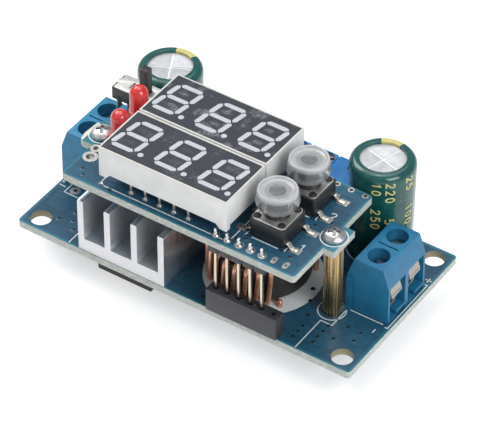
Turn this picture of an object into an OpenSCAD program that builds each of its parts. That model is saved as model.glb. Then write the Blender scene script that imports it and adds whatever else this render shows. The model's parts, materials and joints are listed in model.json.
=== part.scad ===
// Solar charge controller module: two stacked circuit boards with displays, buttons and screw terminals.
// Millimetres, +Z up. The origin is the centre of the corner hole pattern, on the main board's underside.

/* [Main board] */
// Length of the main board along X
board_l = 59.5; // [59:0.1:62]
// Width of the main board along Y
board_w = 30.3; // [30:0.1:32]
// Thickness of the main board
board_t = 1.2; // [0.8:0.1:2]
// Corner radius of both boards
board_corner_r = 0.6; // [0.2:0.1:2]
// Diameter of the corner holes
hole_d = 3.4; // [2.6:0.1:4]
// Corner hole to the end edge
hole_inset_x = 2.65; // [2.2:0.05:4]
// Corner hole to the side edge
hole_inset_y = 2.4; // [2.2:0.05:4]

/* [Display board] */
// Length of the display board without its tabs
upper_l = 40.9; // [40.9:0.1:43]
// Width of the display board
upper_w = 21.25; // [21.25:0.05:22]
// Thickness of the display board
upper_t = 1.2; // [0.8:0.1:2]
// How far the display board passes the main board's near edge
upper_overhang = 0.6; // [0:0.1:1.5]
// Reach of each screw tab
tab_out = 1.85; // [1.7:0.05:2.2]
// Width of each screw tab
tab_w = 5.6; // [4.5:0.1:6]
// Middle of the tabs from the display board's near edge
tab_from_near = 10.45; // [10.2:0.05:10.6]
// Rough edge on the left tab, where the board was snapped from its panel
stub_out = 0.7; // [0.3:0.05:1]
// Diameter of the spare holes in both boards
spare_d = 0.6; // [0.4:0.05:0.8]
// Diameter of the spare lead hole at the display board's left end
lead_hole_d = 1.4; // [1:0.05:1.5]

/* [Standoffs] */
// Length of a standoff, which is the gap between the boards
standoff_l = 13.15; // [12.9:0.05:20]
// Diameter over the ribs
standoff_d = 2.9; // [2.8:0.1:3.4]
// Number of ribs round a standoff
rib_count = 20; // [12:1:28]
// Depth of the grooves between the ribs
rib_depth = 0.16; // [0.05:0.01:0.25]
// Standoff axis to the tab's outer edge
standoff_inset = 1.75; // [1.5:0.05:2]
// Thread diameter of the standoff screws
screw_d = 2.0; // [1.6:0.1:2.2]
// Length of a screw under its head
screw_l = 5.0; // [3.5:0.5:6]
// Diameter of a pan head
head_d = 3.4; // [3:0.1:3.7]
// Height of a pan head
head_h = 1.3; // [1:0.1:1.5]

/* [Displays] */
// Length of a display case whose digits are at the usual pitch
display_l = 22.5; // [22:0.1:22.8]
// Width of a display case
display_w = 10.0; // [9.6:0.1:10.2]
// Height of a display case above its feet
display_h = 4.7; // [4:0.1:6]
// Height of the corner feet
foot_h = 0.75; // [0.4:0.05:1]
// Length of a corner foot
foot_l = 1.9; // [1.2:0.1:2.2]
// Gap between the feet and the display board
display_lift = 1.86; // [1.7:0.01:3]
// Gap between the two displays
display_gap = 0.32; // [0.1:0.01:0.5]
// Middle of the displays along X
display_x = -2.98; // [-3.1:0.01:-2.8]
// Rim of the case round the dark face
display_rim = 0.28; // [0.15:0.01:0.5]
// Thickness of the dark face
face_t = 0.6; // [0.4:0.05:1]
// Diameter of a display pin
pin_d = 0.5; // [0.4:0.05:0.6]
// Pitch of the display pins
pin_pitch = 2.54; // [2.4:0.02:2.7]
// Distance between the two rows of display pins
pin_rows = 7.62; // [7.2:0.02:8]
// Distance between digits
digit_pitch = 7.6; // [7.4:0.05:7.7]
// Width of a digit between segment centre lines
digit_w = 4.1; // [3.8:0.05:4.5]
// Height of a digit between segment centre lines
digit_h = 6.2; // [5.8:0.05:7]
// Width of a segment
segment_w = 0.8; // [0.5:0.05:0.9]
// Depth of a segment in the face
segment_t = 0.3; // [0.2:0.05:0.35]
// Gap between neighbouring segments
segment_gap = 0.22; // [0.08:0.01:0.3]
// Slant of the digits in degrees
digit_slant = 9; // [6:0.5:10]
// Diameter of a decimal point
point_d = 0.9; // [0.6:0.05:1]

/* [LEDs] */
// Diameter of an LED dome
led_d = 2.9; // [2.5:0.1:3]
// Diameter of an LED flange
led_flange_d = 3.2; // [3.1:0.05:3.3]
// Thickness of an LED flange
led_flange_t = 1.0; // [0.6:0.1:1.4]
// Length of an LED body
led_l = 5.3; // [4.5:0.1:6]
// Near LED's body above the display board
near_led_lift = 1.16; // [1:0.01:3]
// Far LED's body above the display board
far_led_lift = 2.55; // [1:0.01:3]
// LED flange to the displays
led_gap = 1.17; // [1:0.01:1.2]
// Near LED from the display board's near edge
led_from_near = 10.22; // [10:0.02:10.4]
// Distance between the LEDs
led_pitch = 4.84; // [4:0.02:5]
// Distance between the leads of an LED
led_lead_pitch = 2.54; // [2.4:0.02:2.6]
// Diameter of an LED lead
led_lead_d = 0.5; // [0.4:0.05:0.6]

/* [Slide switch] */
// Length of the slide switch
switch_l = 8.5; // [8.2:0.1:8.8]
// Width of the slide switch
switch_w = 3.4; // [3.2:0.05:3.5]
// Height of the slide switch
switch_h = 2.4; // [2.2:0.05:3]
// Floor of its base under the lever
switch_floor = 0.9; // [0.6:0.05:1.2]
// Sheet thickness of its cover
switch_sheet = 0.22; // [0.15:0.01:0.3]
// Switch base above the display board
switch_lift = 1.1; // [0.8:0.05:1.5]
// How far the switch passes the display board's end edge
switch_overhang = 3.2; // [2.6:0.05:3.3]
// Switch to the display board's far edge
switch_inset = 0.6; // [0.4:0.05:0.7]
// Length of the lever along its travel
lever_l = 1.4; // [0.8:0.05:1.4]
// Width of the lever
lever_w = 1.3; // [0.9:0.05:1.5]
// Height of the lever above the cover
lever_h = 4.4; // [2:0.1:5]
// Travel of the lever
lever_travel = 1.8; // [1.2:0.1:2.2]
// Pitch of the switch pins
switch_pitch = 2.5; // [2.4:0.05:2.55]
// Width of a switch pin
switch_pin_d = 0.5; // [0.4:0.05:0.6]

/* [Buttons] */
// Side of a button base
button_w = 6.0; // [5.8:0.1:6.2]
// Height of a button base
button_base_h = 3.1; // [3:0.1:4]
// Side of the metal cover plate
plate_w = 5.6; // [5.5:0.05:5.7]
// Thickness of the cover plate
plate_t = 0.3; // [0.2:0.05:0.4]
// Diameter of the plunger stem
stem_d = 3.6; // [3.2:0.05:3.7]
// Stem above the cover plate up to the cap
stem_h = 1.25; // [0.65:0.05:1.5]
// Diameter of the peg inside the cap
peg_d = 2.75; // [2.2:0.05:2.9]
// Height of a cap
cap_h = 3.35; // [3:0.05:4]
// Diameter of a cap at its widest
cap_d = 6.6; // [6.2:0.1:7]
// Diameter of a cap at its rim
cap_rim_d = 6.0; // [5.4:0.1:6.1]
// Travel of a button
button_travel = 0.25; // [0.2:0.01:0.3]
// Distance between the buttons
button_pitch = 8.2; // [7.8:0.05:8.6]
// Button bases to the displays
button_gap = 1.65; // [1.5:0.05:1.9]
// Middle of the buttons from the display board's near edge
buttons_from_near = 11.25; // [11:0.05:11.6]
// Distance between the two leads on a side
button_lead_pitch = 4.5; // [4:0.05:4.8]
// Width of a button lead
button_lead_w = 0.8; // [0.5:0.05:1]
// Reach of a button lead
button_lead_out = 2.0; // [1.5:0.05:2.2]

/* [Heatsink] */
// Width of the heatsink along X
heatsink_w = 15.65; // [15:0.05:16]
// Depth of the heatsink along Y
heatsink_d = 15.0; // [12:0.5:15.5]
// Height of the heatsink
heatsink_h = 9.7; // [7:0.1:10.5]
// Thickness of its base
heatsink_base = 2.4; // [1.5:0.1:3]
// Number of fins
fin_count = 4; // [3:1:6]
// Thickness of a fin
fin_t = 1.1; // [0.8:0.05:1.4]
// Middle of the heatsink along X
heatsink_x = -10.52; // [-10.6:0.02:-10.2]
// Heatsink to the main board's near edge
heatsink_inset = 0.05; // [0:0.05:0.5]

/* [Toroid] */
// Outer diameter of the core
core_d = 15.2; // [14.4:0.1:15.4]
// Inner diameter of the core
core_bore = 8.4; // [7.8:0.1:9]
// Height of the core
core_h = 6.0; // [5:0.1:7]
// Edge radius of the core
core_edge = 0.6; // [0.5:0.05:0.8]
// Wire diameter
wire_d = 0.78; // [0.6:0.02:0.8]
// Gap between the wire and the core
wire_gap = 0.1; // [0.05:0.01:0.15]
// Gap between turns on the inside of the ring
turn_gap = 0.06; // [0.04:0.01:0.2]
// Part of the ring without turns, in degrees
bare_deg = 72; // [60:1:120]
// Least gap between the winding and its neighbours
toroid_gap = 0.2; // [0.1:0.05:0.5]
// Middle of the toroid along X
toroid_x = 7.3; // [7:0.05:7.6]
// Middle of the toroid from the main board's near edge
toroid_from_near = 11.12; // [11:0.02:11.4]

/* [Header] */
// Pitch of the header
header_pitch = 2.0; // [1.9:0.05:2.05]
// Pins in the header
header_count = 5; // [4:1:5]
// First pin along X
header_x = 6.115; // [6:0.005:6.3]
// Row of pins to the main board's near edge
header_inset = 0.775; // [0.75:0.005:0.9]
// Height of the socket
socket_h = 4.0; // [3:0.1:5]
// Width of the socket
socket_w = 2.15; // [2:0.05:2.2]
// Height of the pin strip
strip_h = 1.5; // [1.2:0.05:2]
// Side of a square pin
header_pin = 0.42; // [0.4:0.02:0.56]

/* [Capacitors] */
// Diameter of a capacitor over its sleeve
cap_body_d = 10.1; // [9:0.1:10.2]
// Height of a capacitor
cap_body_h = 17.1; // [12:0.05:20]
// Left capacitor above the main board
left_cap_lift = 0.45; // [0.1:0.05:1]
// Right capacitor above the main board
right_cap_lift = 0.1; // [0.1:0.05:1]
// Sleeve thickness
sleeve_t = 0.16; // [0.1:0.01:0.3]
// Diameter of the bare top
cap_top_d = 7.0; // [6:0.1:7.2]
// Distance between the leads
cap_lead_pitch = 5.0; // [3.5:0.1:5.5]
// Diameter of a lead
cap_lead_d = 0.6; // [0.5:0.05:0.8]
// Left capacitor from the main board's end edge
left_cap_inset = 10.5; // [10.4:0.05:10.8]
// Gap between a capacitor and its neighbours
cap_gap = 0.1; // [0.1:0.05:0.3]

/* [Terminals] */
// Distance between the poles
pole_pitch = 5.08; // [5:0.02:5.2]
// Height of a terminal
terminal_h = 10.0; // [9.8:0.1:11]
// Depth of a terminal behind its screws
terminal_back = 3.8; // [3.7:0.05:4]
// Depth of a terminal in front of its screws
terminal_front = 3.45; // [3.4:0.05:3.6]
// Width of a wire chamber
chamber_w = 4.2; // [4.15:0.01:4.4]
// Floor under a chamber
chamber_floor = 1.1; // [0.7:0.05:1.2]
// Diameter of a screw well
well_d = 3.4; // [3.3:0.05:3.6]
// Diameter of a clamp screw head
clamp_head_d = 3.1; // [2.8:0.05:3.2]
// Height of a clamp screw head
clamp_head_h = 0.8; // [0.6:0.05:1.1]
// Thread diameter of a clamp screw
clamp_d = 2.3; // [2:0.05:2.4]
// Outer width of a clamp cage
cage_w = 3.6; // [3.4:0.05:3.8]
// Sheet thickness of a clamp cage
cage_t = 0.4; // [0.3:0.02:0.45]
// Travel of a clamp cage
cage_travel = 1.2; // [0.8:0.05:1.2]
// Width of a contact tongue
tongue_w = 2.4; // [2:0.05:2.6]
// Sheet thickness of a contact
contact_t = 0.4; // [0.3:0.02:0.4]
// Diameter of a terminal pin
terminal_pin_d = 0.9; // [0.8:0.05:1]
// Left terminal's wire side to the board's end edge
left_terminal_inset = 0.05; // [0:0.05:0.3]
// Right terminal's wire side to the board's end edge
right_terminal_inset = 0.75; // [0.6:0.05:0.8]
// Middle of the left terminal from the main board's near edge
left_terminal_from_near = 16.6; // [16.5:0.05:16.7]
// Middle of the right terminal from the main board's near edge
right_terminal_from_near = 16.8; // [16.7:0.05:16.9]

/* [Trimmers] */
// Width of a trimmer along X
trimmer_w = 4.7; // [4.4:0.05:4.75]
// Length of a trimmer along Y
trimmer_l = 9.5; // [9:0.1:9.9]
// Height of a trimmer
trimmer_h = 10.0; // [9:0.1:11]
// Gap between trimmers
trimmer_gap = 0.15; // [0.1:0.01:0.2]
// Trimmers to the main board's far edge
trimmer_inset = 0.3; // [0.1:0.05:0.5]
// Middle trimmer along X
trimmer_x = 6.355; // [6.3:0.005:6.4]
// Diameter of an adjusting screw
adjuster_d = 2.2; // [1.8:0.05:2.3]
// Length of an adjusting screw
adjuster_l = 2.0; // [1.5:0.1:3]
// Adjusting screw to the trimmer's side
adjuster_inset = 1.3; // [1.25:0.05:1.6]

/* [Chips] */
// Width of the regulator body
regulator_w = 9.8; // [9:0.1:10.6]
// Length of the regulator body
regulator_l = 9.2; // [8.5:0.1:9.6]
// Height of the regulator body
regulator_h = 4.5; // [4:0.1:5]
// Reach of the regulator's metal tab
regulator_tab = 1.6; // [1.2:0.1:2]
// Pitch of the regulator leads
regulator_pitch = 1.7; // [1.5:0.05:1.9]
// Length of the diode body
diode_l = 7.0; // [6:0.1:7.4]
// Width of the diode body
diode_w = 6.0; // [5:0.1:6.4]
// Height of the diode body
diode_h = 2.3; // [1.8:0.1:2.8]
// Length of the display chip body
chip_l = 9.9; // [9.5:0.1:10.4]
// Width of the display chip body
chip_w = 3.9; // [3.5:0.1:4]
// Height of the display chip body
chip_h = 1.5; // [1.2:0.1:1.7]
// Pitch of the display chip leads
chip_pitch = 1.27; // [1.1:0.01:1.3]

/* [Fits] */
// Gap round a lead in its board hole
lead_gap = 0.1; // [0.08:0.01:0.2]
// Gap between parts that are pressed or screwed together
close_fit = 0.02; // [0.01:0.005:0.04]
// Gap between parts that slide or turn
running_fit = 0.05; // [0.03:0.01:0.07]
// How far leads pass through a board
tail = 1.3; // [1:0.1:2]
// Height of a solder cone
solder_h = 0.8; // [0.5:0.05:0.9]
// Width of the ring of solder round a lead
solder_ring = 0.3; // [0.3:0.05:0.6]

/* [Hidden] */
$fn = 48;
// Overshoot of a cut past the face it opens
over = 0.5;

// Heights
upper_z = board_t + standoff_l;
upper_top = upper_z + upper_t;
display_z = upper_top + display_lift;
display_body_z = display_z + foot_h;
display_top = display_body_z + display_h;
switch_z = upper_top + switch_lift;
switch_top = switch_z + switch_h;

// Edges and places on the two boards
near_edge = -board_w / 2;
far_edge = board_w / 2;
upper_near = near_edge - upper_overhang;
upper_far = upper_near + upper_w;
tab_y = upper_near + tab_from_near;
standoff_x = upper_l / 2 + tab_out - standoff_inset;
standoff_at = [for (side = [-1, 1]) [side * standoff_x, tab_y]];
hole_at = [for (sx = [-1, 1], sy = [-1, 1])
    [sx * (board_l / 2 - hole_inset_x), sy * (board_w / 2 - hole_inset_y)]];
spare_pitch = 2.44;
spare_inset = [0.98, 0.67];
spare_at = [for (k = [0 : 2]) [upper_l / 2 - spare_inset[0] - k * spare_pitch, upper_far - spare_inset[1]]];
lead_hole_at = [[1.4 - upper_l / 2, upper_near + 5.3]];
small_lead_hole_at = [[0.95 - upper_l / 2, upper_near + 7.3]];
test_hole_at = [[3.31 - board_l / 2, near_edge + 10.28]];
usual_pitch = 7.6;
case_l = display_l + 2 * (digit_pitch - usual_pitch);
far_display_y = upper_far - display_w / 2;
near_display_y = far_display_y - display_w - display_gap;
button_x = display_x + case_l / 2 + button_gap + button_w / 2;
button_mid = upper_near + buttons_from_near;
near_button_y = button_mid - button_pitch / 2;
far_button_y = button_mid + button_pitch / 2;
led_x = display_x - case_l / 2 - led_gap - led_flange_d / 2;
near_led_y = upper_near + led_from_near;
far_led_y = near_led_y + led_pitch;
switch_x = -upper_l / 2 - switch_overhang + switch_l / 2;
switch_y = upper_far - switch_inset - switch_w / 2;
header_y = near_edge + header_inset;
toroid_reach = core_d / 2 + wire_gap + wire_d;
toroid_y = max(
    header_y + socket_w / 2 + toroid_gap + toroid_reach,
    min(near_edge + toroid_from_near, far_edge - trimmer_inset - trimmer_l - toroid_gap - toroid_reach)
);
trimmer_y = max(
    far_edge - trimmer_inset - trimmer_l / 2,
    toroid_y + toroid_reach + toroid_gap + trimmer_l / 2
);
trimmer_step = trimmer_w + trimmer_gap;

// Terminals: sizes inside a housing, from the screw line at x = 0 towards the wire side at +X
terminal_l = 2 * pole_pitch;
terminal_side = 0.05;
back_wall = 1.2;
well_t = 2.9;
web_t = 0.5;
guard_rise = 1.6;
guard_lean = 0.45;
guard_t = 0.3;
guard_over = 0.4;
guard_inset = 0.05;
notch = [1.0, 0.5];
sill_foot = [1.65, 1.9, 0.4];
cage_clear = 0.2;
grip_gap = 1.1;
tongue_clear = 0.15;
dovetail_neck = 0.6;
dovetail_wide = 0.9;
dovetail_out = 0.5;
dovetail_x = dovetail_wide / 2 + cage_clear - terminal_back;
head_seat = terminal_h - well_t;
ceiling = head_seat - web_t;
chamber_back = back_wall - terminal_back;
strip_x = chamber_back + cage_clear;
strip_rise = 0.3;
strip_foot = chamber_floor + strip_rise;
terminal_pin_x = strip_x + contact_t / 2;
brow_x = terminal_front - terminal_side;
guard_x = brow_x - guard_inset;
cage_slack = 0.1;
cage_back = strip_x + contact_t + cage_clear + cage_slack;
cage_front = guard_x - guard_lean - guard_t - cage_clear;
cage_top = ceiling - cage_clear;
shaft_end = cage_top - cage_travel - cage_t - running_fit;
tongue_z = shaft_end - tongue_clear - contact_t;
cage_bottom = tongue_z - grip_gap - cage_t;
cage_floor_w = cage_w / 2;
cage_bend_rise = 1.3;
cage_bend = cage_bottom + cage_bend_rise;

// Place of each terminal's screw line
left_terminal = [-board_l / 2 + left_terminal_inset + terminal_front, near_edge + left_terminal_from_near];
right_terminal = [board_l / 2 - right_terminal_inset - terminal_front, near_edge + right_terminal_from_near];

// Capacitors stand clear of the display board and of the terminal's rear corner
cap_r = cap_body_d / 2;
left_cap_x = -board_l / 2 + left_cap_inset;
right_cap_x = trimmer_x + trimmer_step + trimmer_w / 2 + cap_gap + cap_r;
function cap_y(x, corner) =
    let (reach = cap_r + cap_gap / 3, dx = min(abs(x - corner[0]), reach))
    max(upper_far + cap_r + cap_gap, corner[1] + sqrt(reach * reach - dx * dx));
left_cap = [left_cap_x, cap_y(left_cap_x, left_terminal + [terminal_back, pole_pitch])];
right_cap = [right_cap_x, cap_y(right_cap_x, right_terminal + [-terminal_back, pole_pitch])];

// Lead places
cap_leads_at = [for (c = [left_cap, right_cap], side = [-1, 1]) c + [side * cap_lead_pitch / 2, 0]];
terminal_pins_at = [for (side = [-1, 1], pole = [-1, 1])
    (side < 0 ? left_terminal : right_terminal) + [side * terminal_pin_x, pole * pole_pitch / 2]];
trimmer_pin_pitch = 2.54;
trimmer_pins_at = [for (i = [-1 : 1], k = [-1 : 1])
    [trimmer_x + i * trimmer_step, trimmer_y + k * trimmer_pin_pitch]];
socket_pins_at = [for (i = [0 : header_count]) [header_x + i * header_pitch, header_y]];
header_pins_at = [for (i = [0 : header_count - 1]) socket_pins_at[i]];
// The near row of each display has one pin fewer
display_pins_at = [for (y = [near_display_y, far_display_y], row = [-1, 1], k = [0 : (row < 0 ? 4 : 5)])
    [display_x + (k - 2.5) * pin_pitch, y + row * pin_rows / 2]];
led_leads_at = [for (y = [near_led_y, far_led_y], side = [-1, 1]) [led_x, y + side * led_lead_pitch / 2]];
switch_pins_at = [for (k = [-1 : 1]) [switch_x + k * switch_pitch, switch_y]];
switch_board_pins = [for (p = switch_pins_at) if (p[0] - switch_pin_d > -upper_l / 2) p];
header_pin_r = header_pin / sqrt(2);

// Toroid winding: the wire follows the rounded section of the core
wire_off = wire_d / 2 + wire_gap;
core_mid = (core_d + core_bore) / 4;
core_half_w = (core_d - core_bore) / 4;
core_half_h = core_h / 2;
core_z = board_t + wire_off + wire_d / 2 + close_fit + core_half_h;
wire_corner = core_edge / 4;
turn_deg = 2 * asin((wire_d + turn_gap) / 2 / (core_mid - core_half_w - wire_off));
turn_count = floor((360 - bare_deg) / turn_deg);
wound_from = (360 - turn_count * turn_deg) / 2;
wire_sides = 6;
// Section of one turn: radius from the ring's middle, height, and share of the turn's advance
turn_section = [
    [core_half_w + wire_off, wire_corner - core_half_h, 0],
    [core_half_w + wire_off, core_half_h - wire_corner, 0.25],
    [core_half_w - wire_corner, core_half_h + wire_off, 0.28],
    [wire_corner - core_half_w, core_half_h + wire_off, 0.45],
    [-core_half_w - wire_off, core_half_h - wire_corner, 0.5],
    [-core_half_w - wire_off, wire_corner - core_half_h, 0.6],
    [wire_corner - core_half_w, -core_half_h - wire_off, 0.65],
    [core_half_w - wire_corner, -core_half_h - wire_off, 0.9]
];
function ring_point(angle, radius, z) =
    [toroid_x + radius * cos(angle), toroid_y + radius * sin(angle), z];
wire_out = core_mid + core_half_w + wire_off;
wound_to = wound_from + turn_count * turn_deg;
wire_ends = [wound_from, wound_to];
wire_path = concat(
    [[wound_from, wire_out, -tail]],
    [for (i = [0 : turn_count - 1], s = turn_section)
        [wound_from + (i + s[2]) * turn_deg, core_mid + s[0], core_z + s[1]]],
    [[wound_to, wire_out, core_z - core_half_h + wire_corner], [wound_to, wire_out, -tail]]
);
toroid_leads_at = [for (a = wire_ends)
    [toroid_x + wire_out * cos(a), toroid_y + wire_out * sin(a)]];
function unit(v) = v / norm(v);
function wire_at(i) = ring_point(wire_path[i][0], wire_path[i][1], wire_path[i][2]);
function wire_ring(i) =
    let (
        last = len(wire_path) - 1,
        along = unit(wire_at(min(i + 1, last)) - wire_at(max(i - 1, 0))),
        round_ring = [-sin(wire_path[i][0]), cos(wire_path[i][0]), 0],
        side = unit(round_ring - (round_ring * along) * along),
        rise = cross(along, side)
    )
    [for (k = [0 : wire_sides - 1])
        wire_at(i) + wire_d / 2 * (cos(k * 360 / wire_sides) * side + sin(k * 360 / wire_sides) * rise)];

// Shared shapes

module rounded_rect(l, w, r) {
    square([l - 2 * r, w], center = true);
    square([l, w - 2 * r], center = true);
    for (sx = [-1, 1], sy = [-1, 1])
        translate([sx * (l / 2 - r), sy * (w / 2 - r)]) circle(r);
}

module rounded_slab(l, w, h, r) {
    linear_extrude(h) rounded_rect(l, w, r);
}

module holes(places, d, z, depth) {
    for (p = places)
        translate([p[0], p[1], z - over]) cylinder(d = d, h = depth + 2 * over);
}

module posts(places, d, z, h) {
    for (p = places)
        translate([p[0], p[1], z]) cylinder(d = d, h = h);
}

// Cone of solder round a lead, on the side of a board that "up" gives
module solder(places, lead_r, z, up) {
    bore = lead_r + close_fit;
    for (p = places)
        translate([p[0], p[1], z])
            mirror([0, 0, up ? 0 : 1])
                rotate_extrude()
                    polygon([
                        [bore, 0], [lead_r + solder_ring, 0],
                        [lead_r + solder_ring / 2, solder_h / 3], [bore + solder_ring / 6, solder_h],
                        [bore, solder_h]
                    ]);
}

// Points of an arc, from one angle to another
function arc(x, y, r, from, to, steps = 6) =
    [for (i = [0 : steps]) let (a = from + (to - from) * i / steps) [x + r * cos(a), y + r * sin(a)]];

// Boards

module main_board() {
    color("steelblue")
        difference() {
            rounded_slab(board_l, board_w, board_t, board_corner_r);
            holes(hole_at, hole_d, 0, board_t);
            holes(standoff_at, screw_d + 2 * lead_gap, 0, board_t);
            holes(cap_leads_at, cap_lead_d + 2 * lead_gap, 0, board_t);
            holes(terminal_pins_at, terminal_pin_d + 2 * lead_gap, 0, board_t);
            holes(trimmer_pins_at, pin_d + 2 * lead_gap, 0, board_t);
            holes(socket_pins_at, pin_d + 2 * lead_gap, 0, board_t);
            holes(toroid_leads_at, wire_d + 2 * lead_gap, 0, board_t);
            holes(test_hole_at, spare_d, 0, board_t);
        }
}

module display_board() {
    color("steelblue")
        difference() {
            translate([0, (upper_near + upper_far) / 2, upper_z])
                rounded_slab(upper_l, upper_w, upper_t, board_corner_r);
            holes(standoff_at, screw_d + 2 * lead_gap, upper_z, upper_t);
            display_board_holes();
        }
    color("steelblue")
        difference() {
            for (side = [-1, 1])
                translate([side * (upper_l + tab_out - over) / 2, tab_y, upper_z])
                    linear_extrude(upper_t)
                        square([tab_out + over, tab_w], center = true);
            holes(standoff_at, screw_d + 2 * lead_gap, upper_z, upper_t);
        }
    color("steelblue")
        translate([-upper_l / 2 - tab_out, tab_y, upper_z])
            linear_extrude(upper_t)
                polygon([
                    [over, -tab_w * 0.45], [0, -tab_w * 0.45], [-stub_out * 0.6, -tab_w * 0.44],
                    [-stub_out, -tab_w * 0.2], [-stub_out * 0.85, tab_w * 0.1],
                    [-stub_out * 0.7, tab_w * 0.34], [0, tab_w * 0.36], [over, tab_w * 0.36]
                ]);
}

module display_board_holes() {
    holes(display_pins_at, pin_d + 2 * lead_gap, upper_z, upper_t);
    holes(header_pins_at, 2 * header_pin_r + 2 * lead_gap, upper_z, upper_t);
    holes(led_leads_at, led_lead_d + 2 * lead_gap, upper_z, upper_t);
    holes(switch_board_pins, switch_pin_d + 2 * lead_gap, upper_z, upper_t);
    holes(spare_at, spare_d, upper_z, upper_t);
    holes(lead_hole_at, lead_hole_d, upper_z, upper_t);
    holes(small_lead_hole_at, lead_hole_d * 0.7, upper_z, upper_t);
    translate([switch_leg_x(1), switch_y, upper_z + upper_t / 2])
        cube([switch_sheet + 2 * lead_gap, switch_leg_w + 2 * lead_gap, upper_t + 2 * over], center = true);
}

// Standoffs

module standoffs() {
    color("goldenrod")
        for (p = standoff_at)
            translate([p[0], p[1], board_t])
                linear_extrude(standoff_l)
                    difference() {
                        polygon([for (i = [0 : rib_count - 1], k = [[0, 0], [0.45, 0], [0.6, 1], [0.85, 1]])
                            let (a = (i + k[0]) * 360 / rib_count, r = standoff_d / 2 - k[1] * rib_depth)
                            [r * cos(a), r * sin(a)]]);
                        circle(d = screw_d + 2 * close_fit);
                    }
}

// Pan-head screw with a cross recess, head up, seat at the origin
module pan_screw() {
    recess_w = head_d * 0.16;
    recess_l = head_d * 0.56;
    dome_r = head_d * 0.7;
    difference() {
        union() {
            intersection() {
                cylinder(d = head_d, h = head_h);
                translate([0, 0, head_h - dome_r]) sphere(dome_r);
            }
            translate([0, 0, -screw_l]) cylinder(d = screw_d, h = screw_l + head_h / 2);
        }
        translate([0, 0, head_h])
            for (turn = [0, 90])
                rotate(turn)
                    cube([recess_l, recess_w, head_h], center = true);
    }
}

module standoff_screws() {
    color("silver")
        for (p = standoff_at) {
            translate([p[0], p[1], upper_top]) rotate(30) pan_screw();
            translate([p[0], p[1], 0]) mirror([0, 0, 1]) pan_screw();
        }
}

// Displays

module display_case(y) {
    color("whitesmoke")
        translate([display_x, y, 0]) {
            difference() {
                translate([0, 0, display_body_z])
                    linear_extrude(display_h) square([case_l, display_w], center = true);
                translate([0, 0, display_top - face_t])
                    linear_extrude(face_t + over)
                        square([case_l - 2 * display_rim, display_w - 2 * display_rim], center = true);
            }
            for (sx = [-1, 1], sy = [-1, 1])
                translate([sx * case_l / 2, sy * display_w / 2, display_body_z]) display_foot(sx, sy);
        }
}

// Wedge foot at a case corner, narrower at its tip
module display_foot(sx, sy) {
    foot_w = foot_l * 0.5;
    translate([0, sy < 0 ? 0 : -foot_w, 0])
        rotate([90, 0, 180])
            linear_extrude(foot_w)
                polygon([
                    [0, 0], [sx * foot_l, 0], [sx * foot_l * 0.65, -foot_h], [0, -foot_h]
                ]);
}

// Corner points of a segment in the leaning digit, turned upright or lying flat
function segment_points(x, y, l, upright, grow) =
    let (
        half = segment_w / 2 + grow,
        reach = l / 2 - segment_gap / sqrt(2) + grow,
        flat = [[-reach, 0], [half - reach, half], [reach - half, half], [reach, 0], [reach - half, -half],
            [half - reach, -half]],
        turned = [for (p = flat) upright ? [p[1], p[0]] : p]
    )
    [for (p = turned) [x + p[0] + (y + p[1]) * tan(digit_slant), y + p[1]]];

// The seven segments and the point of one digit
module digit(grow) {
    for (k = [-1 : 1])
        polygon(segment_points(0, k * digit_h / 2, digit_w, false, grow));
    for (sx = [-1, 1], sy = [-1, 1])
        polygon(segment_points(sx * digit_w / 2, sy * digit_h / 4, digit_h / 2, true, grow));
    translate([digit_w / 2 + segment_w * 0.85, -digit_h / 2])
        circle(d = point_d + 2 * grow, $fn = 24);
}

module digits(y, grow, z, h) {
    for (k = [-1 : 1])
        translate([display_x + k * digit_pitch - segment_w / 4, y, z])
            linear_extrude(h) digit(grow);
}

module display_face(y) {
    edge = 2 * (display_rim + close_fit);
    color("dimgray")
        difference() {
            translate([display_x, y, display_top - face_t])
                linear_extrude(face_t) square([case_l - edge, display_w - edge], center = true);
            digits(y, close_fit, display_top - segment_t, segment_t + over);
        }
}

module display_segments(y) {
    color("gainsboro") digits(y, 0, display_top - segment_t, segment_t);
}

module near_display_case() { display_case(near_display_y); }
module far_display_case() { display_case(far_display_y); }
module near_display_face() { display_face(near_display_y); }
module far_display_face() { display_face(far_display_y); }
module near_display_segments() { display_segments(near_display_y); }
module far_display_segments() { display_segments(far_display_y); }

module display_pins() {
    color("silver") posts(display_pins_at, pin_d, upper_z - tail, display_body_z - upper_z + tail);
}

// LEDs

module led(y, lift) {
    color("firebrick")
        translate([led_x, y, upper_top + lift]) {
            cylinder(d = led_flange_d, h = led_flange_t);
            cylinder(d = led_d, h = led_l - led_d / 2);
            translate([0, 0, led_l - led_d / 2]) sphere(d = led_d);
        }
}

module near_led() { led(near_led_y, near_led_lift); }
module far_led() { led(far_led_y, far_led_lift); }

module led_leads() {
    color("silver")
        for (i = [0 : 3])
            posts([led_leads_at[i]], led_lead_d, upper_z - tail,
                upper_t + tail + (i < 2 ? near_led_lift : far_led_lift));
}

// Slide switch
// The cover is a plate on the hollow base, with a leg folded down at each end

switch_leg_w = 1.2;
switch_corner = 0.4;
switch_end_wall = 0.9;
function switch_leg_x(side) = switch_x + side * (switch_l - switch_sheet) / 2;
switch_body_h = switch_h - switch_sheet;
lever_room_l = switch_l - 2 * switch_end_wall;
lever_room_w = switch_w - 4 * switch_sheet;
lever_rest = lever_travel / 2;
slot_l = lever_travel + lever_l + 4 * running_fit;
slot_w = lever_w + 2 * running_fit;
shoe_h = (switch_body_h - switch_floor) * 0.6;
shoe_l = lever_room_l - lever_travel - 4 * running_fit;
shoe_w = lever_room_w - 2 * running_fit;

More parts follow.
